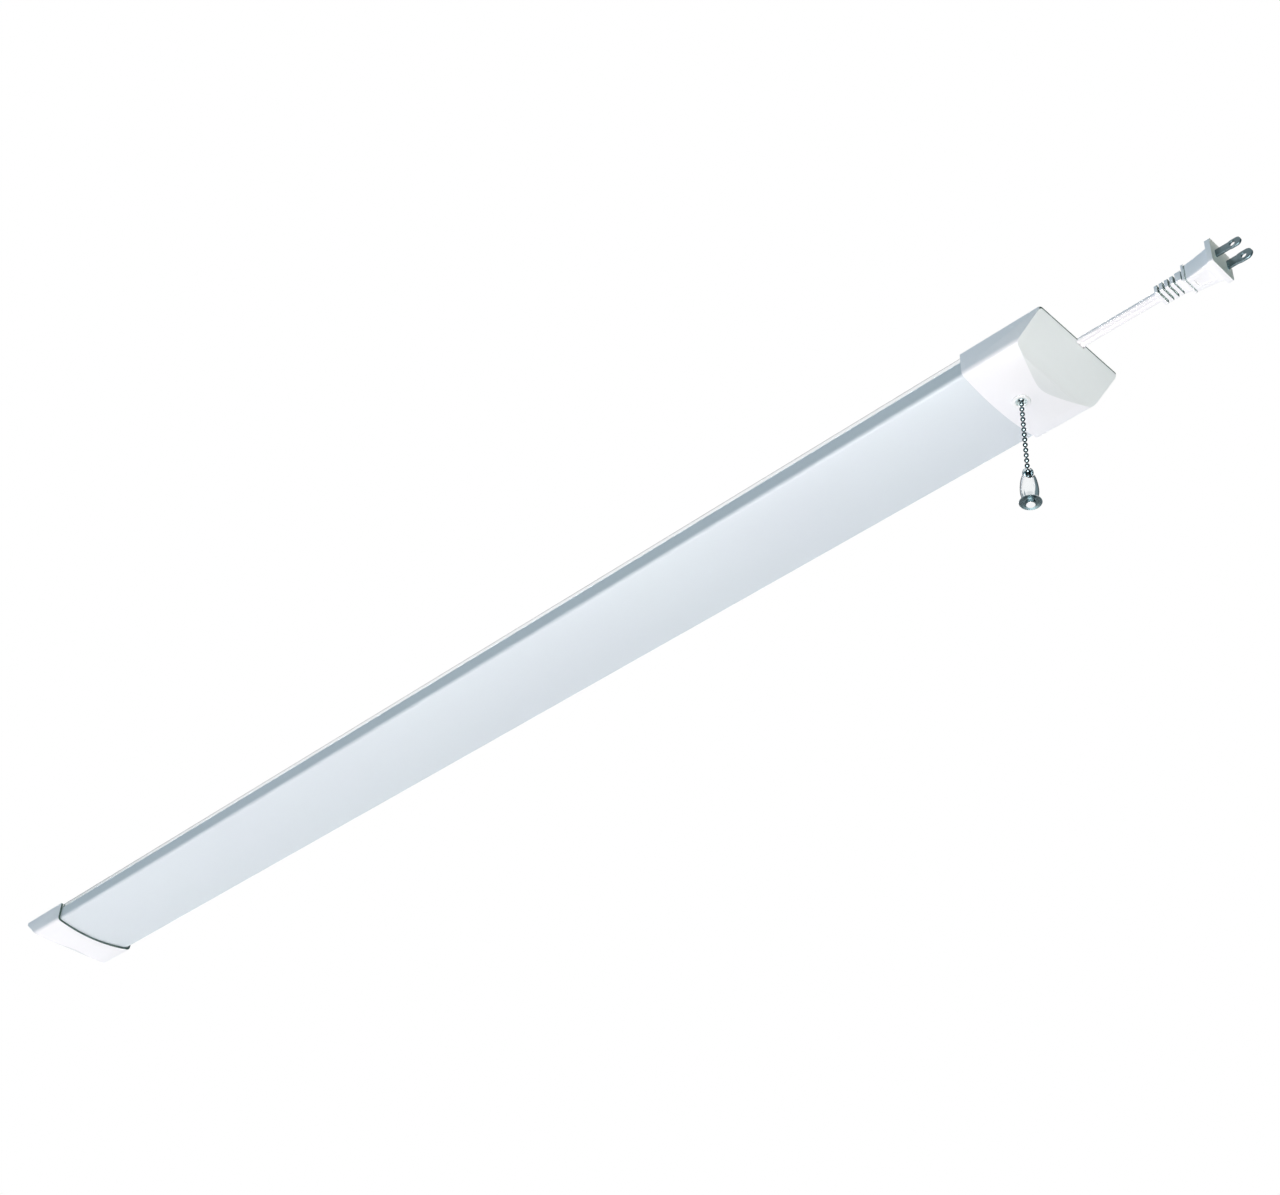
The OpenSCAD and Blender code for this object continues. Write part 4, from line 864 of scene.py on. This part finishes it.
def makeBell():
    piece = turnedBell()
    socket = added(bpy.ops.mesh.primitive_cylinder_add, "socketTool", vertices=32,
                   radius=bellSet["socket"] / 2 * mm, depth=2 * bellSet["socketDepth"] * mm,
                   location=bellPoint(bellSet["outside"][0][0]))
    cutBy(piece, placed(socket))
    seat = added(bpy.ops.mesh.primitive_uv_sphere_add, "seatTool", segments=48, ring_count=32,
                 radius=bellSet["seatWide"] / 2 * mm, location=bellPoint(bellSet["ball"]))
    cutBy(piece, placed(seat))
    cutBy(piece, mouthTool(bellSet["mouthWide"], bellSet["mouthReach"]))
    smoothed(piece, angle=30)
    dressed(piece, "bell_body", "bell", "bell_nickel", "bellNickel", "bellRecessPaintedShade", "bellBoss", "bossSidePaintedShade")
    foot, footWide = bellSet["bossFoot"]
    rim, rimWide = bellSet["recess"]
    # painted shade: the recess and the boss's sides take dark finishes; the boss's bottom takes its white
    # one
    for f in piece.data.polygons:
        z = f.center.z / mm
        wide = 2 * math.hypot(f.center.x / mm - bellSet["x"], f.center.y / mm)
        if z < bellSet["boss"][2][0]:
            f.material_index = 2
        elif z < foot and wide < footWide:
            f.material_index = 3
        elif z < rim and wide < rimWide and f.normal.z < -bellSet["recessDown"]:
            f.material_index = 1


makeBell()

# Widths of the ball, its wall, the round mouth, the slot that a bead slides up, the holes above and below
connectorSet = {"ball": 7.1, "wall": 0.55, "entry": 4.4, "slot": 2.4, "top": 3.7, "below": 4.0, "edge": 0.1}


def makeConnector():  # hollow ball: a bead goes in at the round mouth and slides up the slot
    middle = bellPoint(bellSet["ball"])
    reach = connectorSet["ball"] * mm
    piece = added(bpy.ops.mesh.primitive_uv_sphere_add, "bellConnector", segments=48, ring_count=32,
                  radius=reach / 2, location=middle)
    applied(placed(piece), "SOLIDIFY", thickness=connectorSet["wall"] * mm, offset=-1)
    cutBy(piece, mouthTool(connectorSet["entry"], connectorSet["ball"]))
    turn = math.radians(bellSet["mouthTurn"])
    out = Vector((math.cos(turn), math.sin(turn), 1)) * reach / 2
    slot = added(bpy.ops.mesh.primitive_cube_add, "slotTool", size=1, location=middle + out,
                 rotation=(0, 0, turn), scale=(reach, connectorSet["slot"] * mm, reach))
    cutBy(piece, placed(slot))
    for wide, away in ((connectorSet["top"], 1), (connectorSet["below"], -1)):
        hole = added(bpy.ops.mesh.primitive_cylinder_add, "holeTool", vertices=40, radius=wide / 2 * mm,
                     depth=reach, location=middle + Vector((0, 0, away * reach / 2)))
        cutBy(piece, placed(hole))
    softened(piece, connectorSet["edge"] * mm, segments=2, angle=45)
    smoothed(piece, angle=35)
    dressed(piece, "bell_connector", "bell", "bell_nickel", "ballNickel")


makeConnector()
print("bell made")

screwSet = {
    # each screw's place in the light's back, then the height of the seats and the shanks' lengths
    "end_cap_screws": [(s * 588, t * 28) for s in (-1, 1) for t in (-1, 1)],
    "cord_clamp_screws": [(590, -7.8), (590, 11.8)],
    "seat": -1.6, "long": {"end_cap_screws": 9, "cord_clamp_screws": 5},
    "head": 5.6, "high": 1.55,
    "shank": 2.9, "point": 1, "pointWide": 0.4,  # shank, its point's length, and its share of width there
    "cross": (3.4, 0.85, 0.9),  # length, width and depth of the recess's arms
}


def makeScrew(long):  # pan head with a cross recess, its head's seat at the origin
    head, high = screwSet["head"] * mm, screwSet["high"] * mm
    piece = added(bpy.ops.mesh.primitive_cylinder_add, "screwPattern", vertices=40, radius=head / 2,
                  depth=high, location=(0, 0, high / 2), enter_editmode=True)
    pickFaces(piece, lambda middle, normal: normal.z < -squarely)
    bpy.ops.mesh.inset(thickness=head / 2 - screwSet["shank"] / 2 * mm)
    extruded((0, 0, (screwSet["point"] - long) * mm))
    extruded((0, 0, -screwSet["point"] * mm))
    resized((screwSet["pointWide"], screwSet["pointWide"], 1), (0, 0, -long * mm))
    bpy.ops.object.mode_set(mode="OBJECT")
    placed(piece)
    wide, narrow, deep = (v * mm for v in screwSet["cross"])
    for size in ((wide, narrow, 2 * deep), (narrow, wide, 2 * deep)):
        arm = added(bpy.ops.mesh.primitive_cube_add, "crossTool", size=1, location=(0, 0, high), scale=size)
        cutBy(piece, placed(arm))
    smoothed(piece, angle=30)
    return piece


for node, long in screwSet["long"].items():
    pattern = makeScrew(long)
    copies = [copied(pattern, "screw", (x * mm, y * mm, screwSet["seat"] * mm)) for x, y in screwSet[node]]
    bpy.data.objects.remove(pattern)
    screws = joined(copies, node.replace("_", "") + "Dressed")
    dressed(screws, node, "fixture", "screw_steel", "screwZinc")
print("screws made")

# Finishes of the CAD nodes that stay as they are
nodeFinish = {
    "gear_tray": "trayMill", "tray_posts": "screwZinc", "tray_screws": "screwZinc",
    "led_board_near": "boardMask", "led_board_far": "boardMask", "led_board_screws": "screwZinc",
    "led_chips_near": "phosphorGel", "led_chips_far": "phosphorGel", "led_connector": "connectorNylon",
    "led_leads": "redSleeve", "driver_tray": "fibreFilm", "driver_board": "greenBoard",
    "driver_transformer": "groundFerrite", "driver_capacitors": "blueShrink",
    "driver_choke": "copperWinding", "driver_terminals": "terminalNylon", "cord_clamp": "clampNylon",
    "line_wire": "blackSleeve", "neutral_wire": "whiteSleeve", "switched_wire": "blackSleeve",
    "switch_case": "phenolic", "switch_cover": "fibreSheet", "switch_contacts": "springBrass",
    "switch_pin": "screwZinc", "switch_spring": "screwZinc", "switch_arm": "springBrass",
    "switch_rotor": "ratchetNylon", "switch_bushing": "bushingNickel", "chain_collar": "collarGloss",
}
for node, name in nodeFinish.items():
    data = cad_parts[node].data
    data.materials.clear()
    data.materials.append(finishes[name])
print("CAD nodes dressed:", len(nodeFinish))

lightSet = {
    # two broad lamps: where the light comes from, its colour, and its spread in degrees
    "lamps": {"keyLight": ((-0.2, -0.2, -0.96), (0.76, 0.65, 0.60), 50),
              "topLight": ((-0.1, 0.35, 0.93), (0.73, 0.625, 0.573), 40)},
    # what dull faces get from all around: at the cord's end, at the other, and where these meet
    "ambientEnd": (0.27, 0.34, 0.33), "ambientFar": (0.27, 0.42, 0.54), "ambientFade": (-0.15, 0.15),
    # what polished faces see: pale panels, each with its direction and the cosines where it fades in
    "between": (0.19, 0.26, 0.285),
    "panels": [((0.47, -0.63, 0.618), 0.54, 0.60), ((-0.583, -0.527, 0.618), 0.93, 0.96),
               ((-0.583, 0.527, -0.618), 0.5, 0.6)],
    "panelFoot": (0.16, 0.30),  # height, as a cosine, where the first panel ends
    # one more, small and bright, for the beads
    "spark": ((0.25, -0.433, -0.866), 0.80, 0.86), "sparkColour": (24, 25, 25),
    "floor": -1.3, "floorWide": 14, "floorColour": (0.96, 0.96, 0.96), "floorRough": 0.9,
}


def addLamp(name, source, colour, soft):  # colour is what the lamp adds to a white surface that faces it
    data = bpy.data.lights.new(name, "SUN")
    peak = max(colour)
    data.color = [c / peak for c in colour]
    data.energy = peak * math.pi
    data.angle = math.radians(soft)
    lamp = bpy.data.objects.new(name, data)
    lamp.rotation_euler = Vector(source).to_track_quat("Z", "Y").to_euler()
    scene.collection.objects.link(lamp)


for name, settings in lightSet["lamps"].items():
    addLamp(name, *settings)


def toward(tree, direction, low, high):  # 0 to 1 as a ray's direction nears this one
    way = newNode(tree, "TexCoord").outputs["Generated"]
    dot = newNode(tree, "VectorMath")
    dot.operation = "DOT_PRODUCT"
    wire(tree, way, dot.inputs[0])
    dot.inputs[1].default_value = Vector(direction).normalized()
    fade = newNode(tree, "MapRange", From_Min=low, From_Max=high)
    wire(tree, dot.outputs["Value"], fade.inputs["Value"])
    return fade.outputs["Result"]


def makeWorld():  # white to the eye, soft light on dull faces, panels for polished ones
    world = bpy.data.worlds.new("studio")
    scene.world = world
    world.use_nodes = True
    tree = world.node_tree
    tree.nodes.clear()
    path = newNode(tree, "LightPath")
    first, second, third = (toward(tree, *panel) for panel in lightSet["panels"])
    first = maths(tree, "MULTIPLY", first, toward(tree, (0, 0, 1), *lightSet["panelFoot"]))
    pale = maths(tree, "MAXIMUM", maths(tree, "MAXIMUM", first, second), third)
    end = toward(tree, (1, 0, 0), *lightSet["ambientFade"])
    soft = mixColour(tree, end, lightSet["ambientFar"], lightSet["ambientEnd"])
    gloss = mixColour(tree, pale, lightSet["between"], (1, 1, 1))
    gloss = mixColour(tree, toward(tree, *lightSet["spark"]), gloss, lightSet["sparkColour"])
    lit = mixColour(tree, path.outputs["Is Glossy Ray"], soft, gloss)
    seen = maths(tree, "MAXIMUM", path.outputs["Is Camera Ray"], path.outputs["Is Transmission Ray"])
    back = newNode(tree, "Background")
    wire(tree, mixColour(tree, seen, lit, (1, 1, 1)), back.inputs["Color"])
    wire(tree, back.outputs[0], newNode(tree, "OutputWorld").inputs["Surface"])


makeWorld()


def makeFloor():  # pale floor under the hanging light, clear from below so that it hides nothing there
    floor = added(bpy.ops.mesh.primitive_plane_add, "studioFloor", size=lightSet["floorWide"],
                  location=(0, 0, lightSet["floor"]))
    material = bpy.data.materials.new("paleFloor")
    material.use_nodes = True
    tree = material.node_tree
    shader = tree.nodes["Principled BSDF"]
    shader.inputs["Base Color"].default_value = (*lightSet["floorColour"], 1)
    shader.inputs["Roughness"].default_value = lightSet["floorRough"]
    mix = newNode(tree, "MixShader")
    wire(tree, newNode(tree, "NewGeometry").outputs["Backfacing"], mix.inputs[0])
    wire(tree, shader.outputs[0], mix.inputs[1])
    wire(tree, newNode(tree, "BsdfTransparent").outputs[0], mix.inputs[2])
    wire(tree, mix.outputs[0], tree.nodes["Material Output"].inputs["Surface"])
    floor.data.materials.append(material)
    floor.visible_shadow = False
    floor.visible_diffuse = False
    floor.visible_glossy = False


makeFloor()
print("light and floor set")
